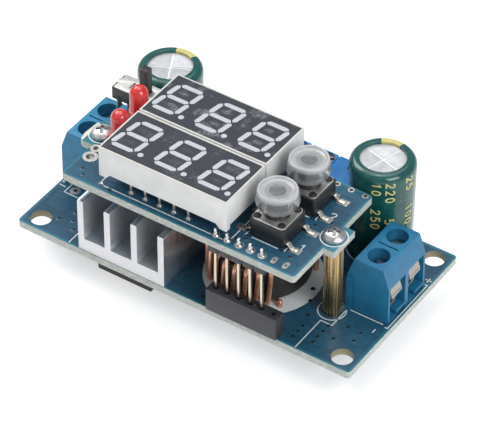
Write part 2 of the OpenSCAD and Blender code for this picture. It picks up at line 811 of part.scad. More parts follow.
module slide_switch_base() {
    color("black")
        translate([switch_x, switch_y, switch_z])
            difference() {
                linear_extrude(switch_body_h) square([switch_l, switch_w], center = true);
                translate([0, 0, switch_floor])
                    linear_extrude(switch_body_h) square([lever_room_l, lever_room_w], center = true);
                for (side = [-1, 1])
                    translate([side * switch_l / 2, 0, -over])
                        linear_extrude(switch_body_h + 2 * over)
                            square(
                                [2 * (switch_sheet + close_fit), switch_leg_w + 2 * close_fit],
                                center = true
                            );
            }
}

module slide_switch_cover() {
    leg_z = upper_z - tail / 2;
    color("silver")
        translate([switch_x, switch_y, 0]) {
            translate([0, 0, switch_top - switch_sheet])
                linear_extrude(switch_sheet)
                    difference() {
                        union() {
                            square([switch_l - 2 * switch_corner, switch_w], center = true);
                            square([switch_l, switch_leg_w], center = true);
                        }
                        square([slot_l, slot_w], center = true);
                    }
            for (side = [-1, 1])
                translate([side * (switch_l - switch_sheet) / 2, 0, leg_z])
                    linear_extrude(switch_top - leg_z) square([switch_sheet, switch_leg_w], center = true);
        }
}

module slide_switch_lever() {
    shoe_z = switch_z + switch_floor + running_fit;
    color("black")
        translate([switch_x + lever_rest, switch_y, shoe_z]) {
            linear_extrude(shoe_h) square([shoe_l, shoe_w], center = true);
            linear_extrude(switch_top + lever_h - shoe_z) square([lever_l, lever_w], center = true);
        }
}

module slide_switch_pins() {
    color("silver") posts(switch_pins_at, switch_pin_d, upper_z - tail, switch_z - upper_z + tail);
}

// Push buttons

rivet_d = 1.2;
rivet_off = (plate_w - rivet_d) / 2 - 0.1;
rivet_h = 0.3;
cavity_d = stem_d + 1.0;
cavity_z = 0.8;
dome_h = 0.45;
dome_t = 0.1;
dome_room = 0.05;
plunger_z = cavity_z + dome_h + button_travel + dome_room;
cap_floor = 0.35;
cap_dish = 0.35;
peg_h = cap_h - cap_dish - cap_floor;
cap_z = button_base_h + plate_t + stem_h;

module button_base(y) {
    color("black")
        translate([button_x, y, upper_top]) {
            difference() {
                rounded_slab(button_w, button_w, button_base_h, 0.5);
                translate([0, 0, cavity_z]) cylinder(d = cavity_d, h = button_base_h);
            }
            for (sx = [-1, 1], sy = [-1, 1])
                translate([sx * rivet_off, sy * rivet_off, button_base_h]) {
                    cylinder(d = rivet_d, h = plate_t, $fn = 24);
                    translate([0, 0, plate_t])
                        rotate_extrude($fn = 24)
                            polygon(concat([[0, 0]], [for (p = arc(0, 0, 1, 0, 90, 4))
                                [p[0] * rivet_d / 2, p[1] * rivet_h]]));
                }
        }
}

module button_covers() {
    color("silver")
        for (y = [near_button_y, far_button_y])
            translate([button_x, y, upper_top + button_base_h])
                difference() {
                    rounded_slab(plate_w, plate_w, plate_t, 0.7);
                    translate([0, 0, -over]) cylinder(d = stem_d + 2 * running_fit, h = plate_t + 2 * over);
                    for (sx = [-1, 1], sy = [-1, 1])
                        translate([sx * rivet_off, sy * rivet_off, -over])
                            cylinder(d = rivet_d + 2 * close_fit, h = plate_t + 2 * over, $fn = 24);
                }
}

// Snap dome on the floor of a button's cavity
module button_domes() {
    foot_r = cavity_d / 2 - running_fit;
    ball_r = (foot_r * foot_r + dome_h * dome_h) / 2 / dome_h;
    rise = asin(foot_r / ball_r);
    color("silver")
        for (y = [near_button_y, far_button_y])
            translate([button_x, y, upper_top + cavity_z])
                rotate_extrude()
                    polygon(concat(
                        arc(0, dome_h - ball_r, ball_r, 90 - rise, 90),
                        [for (p = arc(0, dome_h - ball_r, ball_r - dome_t, 90, 90 - rise))
                            [p[0], max(p[1], 0)]]
                    ));
}

module button_plunger(y) {
    flange_top = button_base_h - running_fit;
    flange_t = 0.6;
    color("black")
        translate([button_x, y, upper_top]) {
            translate([0, 0, plunger_z]) cylinder(d = stem_d, h = cap_z - plunger_z);
            translate([0, 0, flange_top - flange_t])
                cylinder(d = cavity_d - 4 * running_fit, h = flange_t);
            translate([0, 0, plunger_z]) cylinder(d = peg_d, h = cap_z + peg_h - plunger_z);
        }
}

// Clear cap: a bowl that widens, draws in to its rim and is dished on top
module button_cap(y) {
    bowl_r = cap_h * 0.42;
    wide_r = cap_d / 2;
    rim_r = cap_rim_d / 2;
    rim_t = 0.45;
    bore_r = peg_d / 2 + close_fit;
    color("lightgray")
        translate([button_x, y, upper_top + cap_z])
            rotate_extrude()
                polygon(concat(
                    [[bore_r, peg_h + close_fit], [bore_r, 0], [wide_r - bowl_r, 0]],
                    arc(wide_r - bowl_r, bowl_r, bowl_r, -75, 0),
                    arc(rim_r - rim_t / 2, cap_h - rim_t / 2, rim_t / 2, 0, 180),
                    [[rim_r - 1.6 * rim_t, cap_h - cap_dish], [0, cap_h - cap_dish], [0, peg_h + close_fit]]
                ));
}

module near_button_base() { button_base(near_button_y); }
module far_button_base() { button_base(far_button_y); }
module near_button_plunger() { button_plunger(near_button_y); }
module far_button_plunger() { button_plunger(far_button_y); }
module near_button_cap() { button_cap(near_button_y); }
module far_button_cap() { button_cap(far_button_y); }

// Bent leads that stand on the display board
module button_leads() {
    t = 0.2;
    exit_z = 0.75;
    knee = button_lead_out * 0.35;
    color("silver")
        for (y = [near_button_y, far_button_y], side = [0, 180], row = [-1, 1])
            translate([button_x, y, upper_top])
                rotate(side)
                    translate([button_w / 2, row * button_lead_pitch / 2 + button_lead_w / 2, 0])
                        rotate([90, 0, 0])
                            linear_extrude(button_lead_w)
                                polygon([
                                    [0, exit_z], [knee, exit_z], [knee + t, t], [button_lead_out, t],
                                    [button_lead_out, 0], [knee, 0], [knee - t, exit_z - t], [0, exit_z - t]
                                ]);
}

// Heatsink

module heatsink() {
    fin_step = (heatsink_w - fin_t) / (fin_count - 1);
    tip_r = fin_t * 0.3;
    color("dimgray")
        translate([heatsink_x, near_edge + heatsink_inset + heatsink_d, board_t])
            rotate([90, 0, 0])
                linear_extrude(heatsink_d)
                    union() {
                        translate([-heatsink_w / 2, 0]) square([heatsink_w, heatsink_base]);
                        for (i = [0 : fin_count - 1])
                            translate([-heatsink_w / 2 + fin_t / 2 + i * fin_step, heatsink_h / 2])
                                rounded_rect(fin_t, heatsink_h, tip_r);
                        for (i = [0, fin_count - 1])
                            translate([-heatsink_w / 2 + i * fin_step, 0]) square([fin_t, heatsink_base]);
                    }
}

// Toroid

module toroid_core() {
    color("darkolivegreen")
        translate([toroid_x, toroid_y, core_z])
            rotate_extrude()
                translate([core_mid, 0])
                    rounded_rect(2 * core_half_w, core_h, core_edge);
}

module toroid_winding() {
    rings = len(wire_path);
    color("peru")
        polyhedron(
            points = [for (i = [0 : rings - 1]) each wire_ring(i)],
            faces = concat(
                [[for (k = [0 : wire_sides - 1]) k]],
                [for (i = [0 : rings - 2], k = [0 : wire_sides - 1])
                    let (a = i * wire_sides, b = a + wire_sides, n = (k + 1) % wire_sides)
                    each [[a + k, b + k, b + n], [a + k, b + n, a + n]]],
                [[for (k = [wire_sides - 1 : -1 : 0]) (rings - 1) * wire_sides + k]]
            )
        );
}

// Header between the boards

header_clear = 0.1;
socket_end = 1.15;
pin_bottom = 0.6;

module header_socket() {
    l = header_count * header_pitch + 2 * socket_end;
    hole = header_pin + 2 * header_clear;
    mouth = [0.75, 0.75, 0.5];
    color("dimgray")
        difference() {
            translate([header_x - socket_end, header_y - socket_w / 2, board_t])
                cube([l, socket_w, socket_h]);
            for (p = socket_pins_at)
                translate([p[0], p[1], board_t + pin_bottom - header_clear]) {
                    translate([-hole / 2, -hole / 2, 0]) cube([hole, hole, socket_h]);
                    translate([0, 0, socket_h + header_clear - pin_bottom]) cube(mouth, center = true);
                }
        }
}

module header_strip() {
    notch = 0.35;
    hole = header_pin + 2 * close_fit;
    color("dimgray")
        for (p = header_pins_at)
            translate([p[0], p[1], upper_z - strip_h])
                linear_extrude(strip_h)
                    difference() {
                        intersection() {
                            square(header_pitch, center = true);
                            rotate(45) square(sqrt(2) * (header_pitch - notch), center = true);
                        }
                        square(hole, center = true);
                    }
}

module header_pins() {
    color("silver") {
        for (p = header_pins_at)
            translate([p[0] - header_pin / 2, p[1] - header_pin / 2, board_t + pin_bottom])
                cube([header_pin, header_pin, upper_top + tail - board_t - pin_bottom]);
        posts(socket_pins_at, pin_d, -solder_h, board_t + solder_h);
    }
}

// Capacitors

can_foot_r = 0.5;
shoulder_r = 1.0;
lip_rise = 0.35;
bead_r = 0.55;
bead_z = 1.9;
bead_depth = 0.35;
cap_foot = sleeve_t + close_fit;
can_top = cap_body_h - cap_foot - lip_rise;

// Outline of the can from the middle of its base to its top edge, grown by "grow" and raised by "rise"
function can_outline(grow, rise = 0) =
    let (
        r = cap_r - cap_foot,
        span = acos((bead_r - bead_depth) / bead_r),
        groove_r = bead_r - grow,
        foot_r = can_foot_r + grow
    )
    concat(
        arc(r - can_foot_r, can_foot_r, foot_r, -90, 0),
        [for (p = arc(r + bead_r - bead_depth, bead_z, groove_r, 180 + span, 180 - span, 8))
            [min(p[0], r + grow), p[1]]],
        arc(r - shoulder_r, can_top + rise - shoulder_r, shoulder_r + grow, 0, 90)
    );

module capacitor_can(place, lift) {
    score_l = cap_top_d - sleeve_t;
    score_w = 0.28;
    score_t = 0.15;
    color("silver")
        translate([place[0], place[1], board_t + lift + cap_foot])
            difference() {
                rotate_extrude() polygon(concat([[0, 0]], can_outline(0), [[0, can_top]]));
                for (turn = [20, 110])
                    translate([0, 0, can_top])
                        rotate(turn) cube([score_l, score_w, 2 * score_t], center = true);
            }
}

module capacitor_sleeve(place, lift) {
    inner = can_outline(close_fit);
    outer = can_outline(cap_foot, lip_rise);
    lip = cap_top_d / 2;
    color("darkslategray")
        translate([place[0], place[1], board_t + lift + cap_foot])
            rotate_extrude()
                polygon(concat(
                    outer, [[lip, outer[len(outer) - 1][1]], [lip, inner[len(inner) - 1][1]]],
                    [for (i = [len(inner) - 1 : -1 : 0]) inner[i]]
                ));
}

module left_capacitor_can() { capacitor_can(left_cap, left_cap_lift); }
module right_capacitor_can() { capacitor_can(right_cap, right_cap_lift); }
module left_capacitor_sleeve() { capacitor_sleeve(left_cap, left_cap_lift); }
module right_capacitor_sleeve() { capacitor_sleeve(right_cap, right_cap_lift); }

module capacitor_leads() {
    color("silver")
        for (i = [0 : 3])
            posts([cap_leads_at[i]], cap_lead_d, -tail,
                board_t + tail + cap_foot + (i < 2 ? left_cap_lift : right_cap_lift));
}

// Screw terminals, in a frame with the screw line at x = 0 and the wire side at +X

module at_terminal(place, side) {
    translate([place[0], place[1], board_t])
        rotate(side < 0 ? 180 : 0)
            children();
}

module at_pole(place, side, pole) {
    at_terminal(place, side)
        translate([0, side * pole * pole_pitch / 2, 0])
            children();
}

// Dovetail that lets housings be joined in a row
module dovetail(grow) {
    neck = dovetail_neck / 2 + grow;
    wide = dovetail_wide / 2 + grow;
    out = dovetail_out + grow;
    translate([dovetail_x, 0])
        polygon([[-neck, 0], [neck, 0], [wide, -out], [-wide, -out]]);
}

module terminal_housing(place, side) {
    slope_z = terminal_h - 3.5;
    slope_in = 1.25;
    brow_z = terminal_h - 3.2;
    brow_in = 1.13;
    slit = [3.5, 0.25, 1.2];
    dovetail_h = slope_z - cage_clear;
    color("royalblue")
        at_terminal(place, side) {
            difference() {
                translate([0, terminal_l / 2, 0])
                    rotate([90, 0, 0])
                        linear_extrude(terminal_l)
                            polygon([
                                [-terminal_back, 0], [terminal_front, 0], [brow_x, brow_z],
                                [brow_x - brow_in, terminal_h], [slope_in - terminal_back, terminal_h],
                                [-terminal_back, slope_z]
                            ]);
                for (pole = [-1, 1])
                    translate([0, pole * pole_pitch / 2, 0]) {
                        translate([chamber_back, -chamber_w / 2, chamber_floor])
                            cube([terminal_front - chamber_back + over, chamber_w, ceiling - chamber_floor]);
                        translate([terminal_front - notch[0], sill_foot[1] - chamber_w / 2, -over])
                            cube([notch[0] + over, chamber_w - sill_foot[1], notch[1] + over]);
                        translate([terminal_front - sill_foot[0], -chamber_w / 2, sill_foot[2]])
                            cube([sill_foot[0] + over, sill_foot[1], chamber_floor]);
                        cylinder(d = clamp_d + 4 * running_fit, h = terminal_h);
                        translate([0, 0, head_seat]) cylinder(d = well_d, h = terminal_h);
                        translate([terminal_pin_x, 0, -over])
                            cylinder(d = terminal_pin_d + 2 * lead_gap, h = chamber_floor + 2 * over);
                    }
                translate([0, 0, terminal_h]) cube(slit, center = true);
                translate([0, terminal_l / 2, -over])
                    linear_extrude(dovetail_h + over) dovetail(running_fit);
            }
            translate([0, -terminal_l / 2, 0]) linear_extrude(dovetail_h) dovetail(0);
        }
}

// Fixed contact: tongue through the cage, front guard, strip down to the board pin
module terminal_contacts() {
    guard_w = tongue_w + guard_over;
    guard_z = tongue_z + guard_rise;
    color("gainsboro")
        for (side = [-1, 1], pole = [-1, 1])
            at_pole(side < 0 ? left_terminal : right_terminal, side, pole) {
                translate([0, tongue_w / 2, 0])
                    rotate([90, 0, 0])
                        linear_extrude(tongue_w)
                            union() {
                                translate([strip_x, tongue_z]) square([guard_x - strip_x, contact_t]);
                                translate([strip_x, strip_foot])
                                    square([contact_t, tongue_z - strip_foot + contact_t]);
                            }
                translate([0, guard_w / 2, 0])
                    rotate([90, 0, 0])
                        linear_extrude(guard_w)
                            polygon([
                                [guard_x, tongue_z], [guard_x - guard_lean, guard_z],
                                [guard_x - guard_lean - guard_t, guard_z], [guard_x - guard_lean, tongue_z]
                            ]);
                translate([terminal_pin_x, 0, -board_t - tail])
                    cylinder(d = terminal_pin_d, h = board_t + tail + strip_foot);
            }
}

// Section of a closed clamp cage across the wire, drawn inwards by "inset"
function cage_outline(inset) =
    let (wide = cage_w / 2 - inset, narrow = (cage_floor_w - inset) / 2)
    [
        [-narrow, cage_bottom + inset], [narrow, cage_bottom + inset], [wide, cage_bend],
        [wide, cage_top - inset], [-wide, cage_top - inset], [-wide, cage_bend]
    ];

// Rising clamp cage: a folded loop, open along the wire, threaded on its screw; drawn lowered, ready for a wire
module terminal_cage(place, side, pole) {
    l = cage_front - cage_back;
    groove = [0.25, cage_floor_w - 2 * cage_t, cage_t * 0.6];
    groove_step = 0.75;
    color("gainsboro")
        at_pole(place, side, pole)
            translate([0, 0, -cage_travel])
                difference() {
                    translate([cage_back, 0, 0])
                        rotate([90, 0, 90])
                            linear_extrude(l)
                                difference() {
                                    polygon(cage_outline(0));
                                    polygon(cage_outline(cage_t));
                                }
                    translate([0, 0, cage_top - cage_t - over])
                        cylinder(d = clamp_d + 2 * running_fit, h = cage_t + 2 * over);
                    // Grip grooves across the floor
                    for (i = [-2 : 2])
                        translate([(cage_back + cage_front) / 2 + i * groove_step, 0, cage_bottom + cage_t])
                            cube(groove, center = true);
                }
}

module terminal_screw(place, side, pole) {
    color("silver")
        at_pole(place, side, pole)
            difference() {
                union() {
                    translate([0, 0, head_seat]) cylinder(d = clamp_head_d, h = clamp_head_h);
                    translate([0, 0, shaft_end])
                        cylinder(d = clamp_d, h = head_seat - shaft_end + clamp_head_h / 2);
                }
                translate([0, 0, head_seat + clamp_head_h])
                    rotate(35 * pole) cube([clamp_head_d + over, 0.5, clamp_head_h], center = true);
            }
}

module left_terminal_housing() { terminal_housing(left_terminal, -1); }
module right_terminal_housing() { terminal_housing(right_terminal, 1); }
module left_near_cage() { terminal_cage(left_terminal, -1, -1); }
module left_far_cage() { terminal_cage(left_terminal, -1, 1); }
module right_near_cage() { terminal_cage(right_terminal, 1, -1); }
module right_far_cage() { terminal_cage(right_terminal, 1, 1); }
module left_near_screw() { terminal_screw(left_terminal, -1, -1); }
module left_far_screw() { terminal_screw(left_terminal, -1, 1); }
module right_near_screw() { terminal_screw(right_terminal, 1, -1); }
module right_far_screw() { terminal_screw(right_terminal, 1, 1); }

// Trimmers

trimmer_foot = 0.4;
adjuster_recess = 0.3;

module at_trimmer(i) {
    translate([trimmer_x + i * trimmer_step, trimmer_y, board_t]) children();
}

module at_adjuster() {
    translate([trimmer_w / 2 - adjuster_inset, trimmer_l / 2 - adjuster_inset, trimmer_h]) children();
}

module trimmer_body(i) {
    foot = 1.1;
    color("mediumblue")
        at_trimmer(i)
            difference() {
                union() {
                    translate([0, 0, trimmer_foot])
                        rounded_slab(trimmer_w, trimmer_l, trimmer_h - trimmer_foot, 0.25);
                    for (sx = [-1, 1], sy = [-1, 1])
                        translate([sx * (trimmer_w - foot) / 2, sy * (trimmer_l - foot) / 2, 0])
                            rounded_slab(foot, foot, 2 * trimmer_foot, 0.25);
                }
                at_adjuster()
                    translate([0, 0, -adjuster_recess - adjuster_l])
                        cylinder(d = adjuster_d + 2 * running_fit, h = adjuster_l + adjuster_recess + over);
            }
}

module trimmer_screw(i) {
    slot = [adjuster_d + over, 0.45, 1.2];
    color("gold")
        at_trimmer(i)
            at_adjuster()
                difference() {
                    translate([0, 0, -adjuster_recess - adjuster_l]) cylinder(d = adjuster_d, h = adjuster_l);
                    translate([0, 0, -adjuster_recess]) rotate(25 + 40 * i) cube(slot, center = true);
                }
}

module left_trimmer_body() { trimmer_body(-1); }
module middle_trimmer_body() { trimmer_body(0); }
module right_trimmer_body() { trimmer_body(1); }
module left_trimmer_screw() { trimmer_screw(-1); }
module middle_trimmer_screw() { trimmer_screw(0); }
module right_trimmer_screw() { trimmer_screw(1); }

module trimmer_pins() {
    color("silver") posts(trimmer_pins_at, pin_d, -tail, board_t + trimmer_foot + tail);
}

// Chips

// Both stand under the heatsink's depth, a gap apart
regulator_x = heatsink_x - heatsink_w * 0.11;
regulator_y = near_edge + heatsink_inset + heatsink_d * 0.51;
diode_gap = 1.8;
diode_x = regulator_x + (regulator_w + diode_l) / 2 + diode_gap;

// Bent lead that reaches from a body to its board, both heights measured from the board
module chip_lead(w, exit_z, out, foot, t) {
    translate([0, w / 2, 0])
        rotate([90, 0, 0])
            linear_extrude(w)
                polygon([
                    [0, exit_z], [out - foot, exit_z], [out - foot + t, t], [out, t], [out, 0],
                    [out - foot, 0], [out - foot - t, exit_z - t], [0, exit_z - t]
                ]);
}

// Switching regulator under the heatsink, its metal tab flat on the board
module regulator_chip() {
    tab_t = regulator_h * 0.29;
    tab_in = 0.2;
    lead_t = regulator_h * 0.1;
    lead_w = regulator_pitch * 0.47;
    lead_out = regulator_l * 0.456;
    color("dimgray")
        translate([regulator_x, regulator_y, 0])
            mirror([0, 0, 1]) {
                translate([0, 0, regulator_h / 2])
                    cube([regulator_w, regulator_l, regulator_h], center = true);
                translate([0, tab_in - (regulator_l + regulator_tab) / 2, tab_t / 2])
                    cube([regulator_w * 0.9, regulator_tab, tab_t], center = true);
                for (k = [-2 : 2])
                    translate([k * regulator_pitch, regulator_l / 2, 0])
                        rotate(90) chip_lead(lead_w, regulator_h / 2, lead_out, lead_out / 2, lead_t);
            }
}

module catch_diode() {
    lift = diode_h * 0.09;
    lead_t = diode_h * 0.09;
    lead_out = diode_l * 0.086;
    color("dimgray")
        translate([diode_x, regulator_y, 0])
            mirror([0, 0, 1]) {
                translate([0, 0, (diode_h + lift) / 2]) cube([diode_l, diode_w, diode_h - lift], center = true);
                for (turn = [0, 180])
                    rotate(turn)
                        translate([diode_l / 2, 0, 0])
                            chip_lead(diode_w / 2, diode_h * 0.48, lead_out, lead_out * 0.6, lead_t);
            }
}

// Display driver on the underside of the display board, between the pins of the near display
module display_chip() {
    lift = 0.15;
    lead_t = 0.2;
    lead_w = 0.42;
    color("dimgray")
        translate([display_x, near_display_y, upper_z])
            mirror([0, 0, 1]) {
                translate([0, 0, lift + chip_h / 2]) cube([chip_l, chip_w, chip_h], center = true);
                for (turn = [0, 180], k = [0 : 7])
                    rotate(turn)
                        translate([(k - 3.5) * chip_pitch, chip_w / 2, 0])
                            rotate(90) chip_lead(lead_w, 0.9, 1.05, 0.5, lead_t);
            }
}

// Solder

module solder_joints() {
    color("lightsteelblue") {
        solder(cap_leads_at, cap_lead_d / 2, 0, false);
        solder(terminal_pins_at, terminal_pin_d / 2, 0, false);
        solder(trimmer_pins_at, pin_d / 2, 0, false);
        solder(socket_pins_at, pin_d / 2, 0, false);
        solder(toroid_leads_at, wire_d / 2, 0, false);
        solder(display_pins_at, pin_d / 2, upper_top, true);
        solder(header_pins_at, header_pin_r, upper_top, true);
        solder(led_leads_at, led_lead_d / 2, upper_z, false);
        solder(switch_board_pins, switch_pin_d / 2, upper_z, false);
    }
}

main_board();
display_board();
standoffs();
standoff_screws();
near_display_case();
far_display_case();
near_display_face();
far_display_face();
near_display_segments();
far_display_segments();
display_pins();
near_led();
far_led();
led_leads();
slide_switch_base();
slide_switch_cover();
slide_switch_lever();
slide_switch_pins();
near_button_base();
far_button_base();
button_covers();
button_domes();
near_button_plunger();
far_button_plunger();
near_button_cap();
far_button_cap();
button_leads();
heatsink();
toroid_core();
toroid_winding();
header_socket();
header_strip();
header_pins();
left_capacitor_can();
right_capacitor_can();
left_capacitor_sleeve();
right_capacitor_sleeve();
capacitor_leads();
left_terminal_housing();
right_terminal_housing();
terminal_contacts();
left_near_cage();
left_far_cage();
right_near_cage();
right_far_cage();
left_near_screw();
left_far_screw();
right_near_screw();
right_far_screw();
left_trimmer_body();
middle_trimmer_body();
right_trimmer_body();
left_trimmer_screw();
middle_trimmer_screw();
right_trimmer_screw();
trimmer_pins();
regulator_chip();
catch_diode();
display_chip();
solder_joints();
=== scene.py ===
import json
import math
import random

import bmesh
import bpy
from mathutils import Matrix, Vector


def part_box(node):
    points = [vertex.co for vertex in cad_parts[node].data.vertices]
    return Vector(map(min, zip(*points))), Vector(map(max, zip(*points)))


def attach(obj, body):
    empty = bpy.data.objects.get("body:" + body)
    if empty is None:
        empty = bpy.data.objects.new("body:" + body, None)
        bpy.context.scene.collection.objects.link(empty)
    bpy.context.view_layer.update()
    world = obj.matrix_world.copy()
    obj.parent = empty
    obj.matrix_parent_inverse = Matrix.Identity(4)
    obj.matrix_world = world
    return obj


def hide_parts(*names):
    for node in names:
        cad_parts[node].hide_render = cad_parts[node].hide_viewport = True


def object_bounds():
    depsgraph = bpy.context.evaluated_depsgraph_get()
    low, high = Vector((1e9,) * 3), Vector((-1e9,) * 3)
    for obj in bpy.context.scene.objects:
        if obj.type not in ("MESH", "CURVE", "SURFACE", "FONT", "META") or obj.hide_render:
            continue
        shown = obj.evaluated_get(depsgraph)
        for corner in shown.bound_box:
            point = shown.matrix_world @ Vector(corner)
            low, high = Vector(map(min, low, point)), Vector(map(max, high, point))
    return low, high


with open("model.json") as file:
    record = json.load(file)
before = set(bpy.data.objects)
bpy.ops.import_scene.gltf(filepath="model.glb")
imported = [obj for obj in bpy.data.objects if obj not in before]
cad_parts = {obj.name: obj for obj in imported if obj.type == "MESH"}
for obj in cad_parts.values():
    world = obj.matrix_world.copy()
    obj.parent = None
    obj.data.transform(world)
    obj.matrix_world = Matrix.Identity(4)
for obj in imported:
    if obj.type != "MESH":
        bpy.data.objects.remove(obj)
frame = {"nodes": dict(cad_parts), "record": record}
cadBox = [list(corner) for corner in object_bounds()]
scene = bpy.context.scene
nodes = frame["nodes"]
bodyOf = {node: body for body, members in frame["record"]["behaviour"]["bodies"].items() for node in members}
slotOf = {row["node"]: row["material_slot"] for row in frame["record"]["subparts"]}
mm = 0.001
print("frame loaded:", len(nodes), "nodes")


def boxOf(node):  # corners of a node in millimetres
    low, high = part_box(node)
    return low / mm, high / mm


def middleOf(node):
    low, high = boxOf(node)
    return (low + high) / 2


def polar(degrees, radius=1.0):  # a point on a circle round the origin
    angle = math.radians(degrees)
    return radius * math.cos(angle), radius * math.sin(angle)


def newObject(name, data):
    obj = bpy.data.objects.new(name, data)
    scene.collection.objects.link(obj)
    return obj


# Places and names that several pieces share, in millimetres
mainTop = boxOf("main_board")[1].z
upperLow, upperTop = (corner.z for corner in boxOf("display_board"))
upperMid = middleOf("display_board").y
upperHalf = 20.45  # half the display board's length, without its tabs
postRadius = 1.45
postX, postY = boxOf("standoffs")[1].x - postRadius, middleOf("standoffs").y
pair = ("near", "far")
poles = ("left_near", "left_far", "right_near", "right_far")


# Camera and lights

view = {"eye": (199.35, -296.81, 321.12), "target": (2.095, -2.135, 9.2), "roll": 0.18, "lens": 238.86, "sensor": 36}
studio = {
    "sky": 0.38,
    # name: place, aim, size across and up, watts, colour
    "lights": {
        "key": ((-230, -330, 330), (0, 0, 8), (320, 260), 0.12, (1.0, 0.99, 0.97)),
        "side": ((370, -120, 310), (10, 0, 8), (280, 300), 1.5, (0.97, 0.99, 1.0)),
        "top": ((-90, 110, 430), (-5, 0, 8), (420, 340), 0.82, (1.0, 1.0, 1.0)),
        "left": ((-290, 50, 310), (-20, 0, 8), (240, 220), 0.85, (1.0, 1.0, 1.0)),
        "spark": ((-40, 60, 400), (0, 0, 12), (60, 60), 0.09, (1.0, 1.0, 1.0)),
    },
}


def aimed(obj, place, target, roll=0.0):
    place, target = Vector(place) * mm, Vector(target) * mm
    turn = (target - place).to_track_quat("-Z", "Y").to_matrix() @ Matrix.Rotation(math.radians(roll), 3, "Z")
    obj.matrix_world = Matrix.Translation(place) @ turn.to_4x4()


def makeStudio():
    camera = newObject("camera", bpy.data.cameras.new("camera"))
    camera.data.lens = view["lens"]
    camera.data.sensor_width = view["sensor"]
    camera.data.clip_start = 0.01
    camera.data.clip_end = 20
    aimed(camera, view["eye"], view["target"], view["roll"])
    scene.camera = camera
    for name, (place, aim, size, power, colour) in studio["lights"].items():
        lamp = bpy.data.lights.new(name, "AREA")
        lamp.shape = "RECTANGLE"
        lamp.size, lamp.size_y = size[0] * mm, size[1] * mm
        lamp.energy = power
        lamp.color = colour
        aimed(newObject(name, lamp), place, aim)
    sky = bpy.data.worlds.new("sky")
    sky.use_nodes = True
    back = sky.node_tree.nodes["Background"]
    back.inputs["Color"].default_value = (1, 1, 1, 1)
    back.inputs["Strength"].default_value = studio["sky"]
    scene.world = sky
    scene.view_settings.view_transform = "Standard"


makeStudio()
print("camera and lights placed")


# Node trees

class Wire:  # one socket of a node tree; sums on it become Math nodes
    def __init__(self, graph, socket):
        self.graph = graph
        self.socket = socket

    def sisters(self):  # all outputs of the node that it comes from
        return [Wire(self.graph, socket) for socket in self.socket.node.outputs]

    def __add__(self, other):
        return self.graph.work("ADD", self, other)

    __radd__ = __add__

    def __sub__(self, other):
        return self.graph.work("SUBTRACT", self, other)

    def __rsub__(self, other):
        return self.graph.work("SUBTRACT", other, self)

    def __mul__(self, other):
        return self.graph.work("MULTIPLY", self, other)

    __rmul__ = __mul__

    def __abs__(self):
        return self.graph.work("ABSOLUTE", self)

    def __lt__(self, other):
        return self.graph.work("LESS_THAN", self, other)

    def __gt__(self, other):
        return self.graph.work("GREATER_THAN", self, other)


class Graph:  # adds nodes to a tree one at a time
    def __init__(self, tree, material=None):
        self.tree = tree
        self.material = material
        tree.nodes.clear()

    def add(self, kind, settings=None, values=None, output=0):
        node = self.tree.nodes.new(kind)
        for key, value in (settings or {}).items():
            setattr(node, key, value)
        for key, value in (values or {}).items():
            if isinstance(value, Wire):
                self.tree.links.new(value.socket, node.inputs[key])
            else:
                node.inputs[key].default_value = value
        return Wire(self, node.outputs[output]) if len(node.outputs) else None

    def work(self, operation, *values):
        return self.add("ShaderNodeMath", {"operation": operation}, dict(enumerate(values)))


def newFinish(name):  # a material's tree, and object coordinates in millimetres
    material = bpy.data.materials.new(name)
    material.use_nodes = True
    g = Graph(material.node_tree, material)
    place = g.add("ShaderNodeTexCoord", output="Object")
    return g, g.add("ShaderNodeVectorMath", {"operation": "SCALE"}, {0: place, "Scale": 1 / mm})


def close(g, values):
    shader = g.add("ShaderNodeBsdfPrincipled", None, values)
    g.add("ShaderNodeOutputMaterial", None, {"Surface": shader})
    return g.material


def rgb(red, green, blue):
    return (red, green, blue, 1.0)


def grey(level):
    return rgb(level, level, level)


def tint(colour, by):
    return rgb(*(min(1.0, channel * by) for channel in colour[:3]))


def split(vector):
    return vector.graph.add("ShaderNodeSeparateXYZ", None, {0: vector}).sisters()


def facing(g):  # parts of the surface direction
    return split(g.add("ShaderNodeTexCoord", output="Normal"))


def stretched(place, scale, turn=(0, 0, 0)):
    turn = tuple(math.radians(angle) for angle in turn)
    return place.graph.add("ShaderNodeMapping", None, {"Vector": place, "Scale": scale, "Rotation": turn})


def noise(place, scale, detail=2.0, rough=0.5):
    values = {"Vector": place, "Scale": scale, "Detail": detail, "Roughness": rough}
    return place.graph.add("ShaderNodeTexNoise", None, values)


def ramp(value, low, high):
    values = {"Value": value, "From Min": low, "From Max": high}
    return value.graph.add("ShaderNodeMapRange", {"interpolation_type": "SMOOTHSTEP"}, values)


def blend(factor, first, second):
    return factor.graph.add("ShaderNodeMix", {"data_type": "RGBA"}, {0: factor, 6: first, 7: second}, 2)


def mottled(value, first, second, low=0.3, high=0.7):  # two shades of one colour, parted by a noise
    return blend(ramp(value, low, high), first, second)


def bump(height, depth, strength):  # depth in millimetres
    return height.graph.add("ShaderNodeBump", None, {"Height": height, "Distance": depth * mm, "Strength": strength})


def wrapped(value, pitch):  # repeats a coordinate every pitch, from its middle
    return value.graph.work("WRAP", value, pitch / 2, -pitch / 2)


def specks(place, scale, share):  # small pale grains of dust
    cells = place.graph.add("ShaderNodeTexVoronoi", None, {"Vector": place, "Scale": scale})
    distance, colour = cells.sisters()[:2]
    size, chance = split(colour)[:2]
    return (distance < size * 0.11) * (chance > 1 - share)


# Finishes

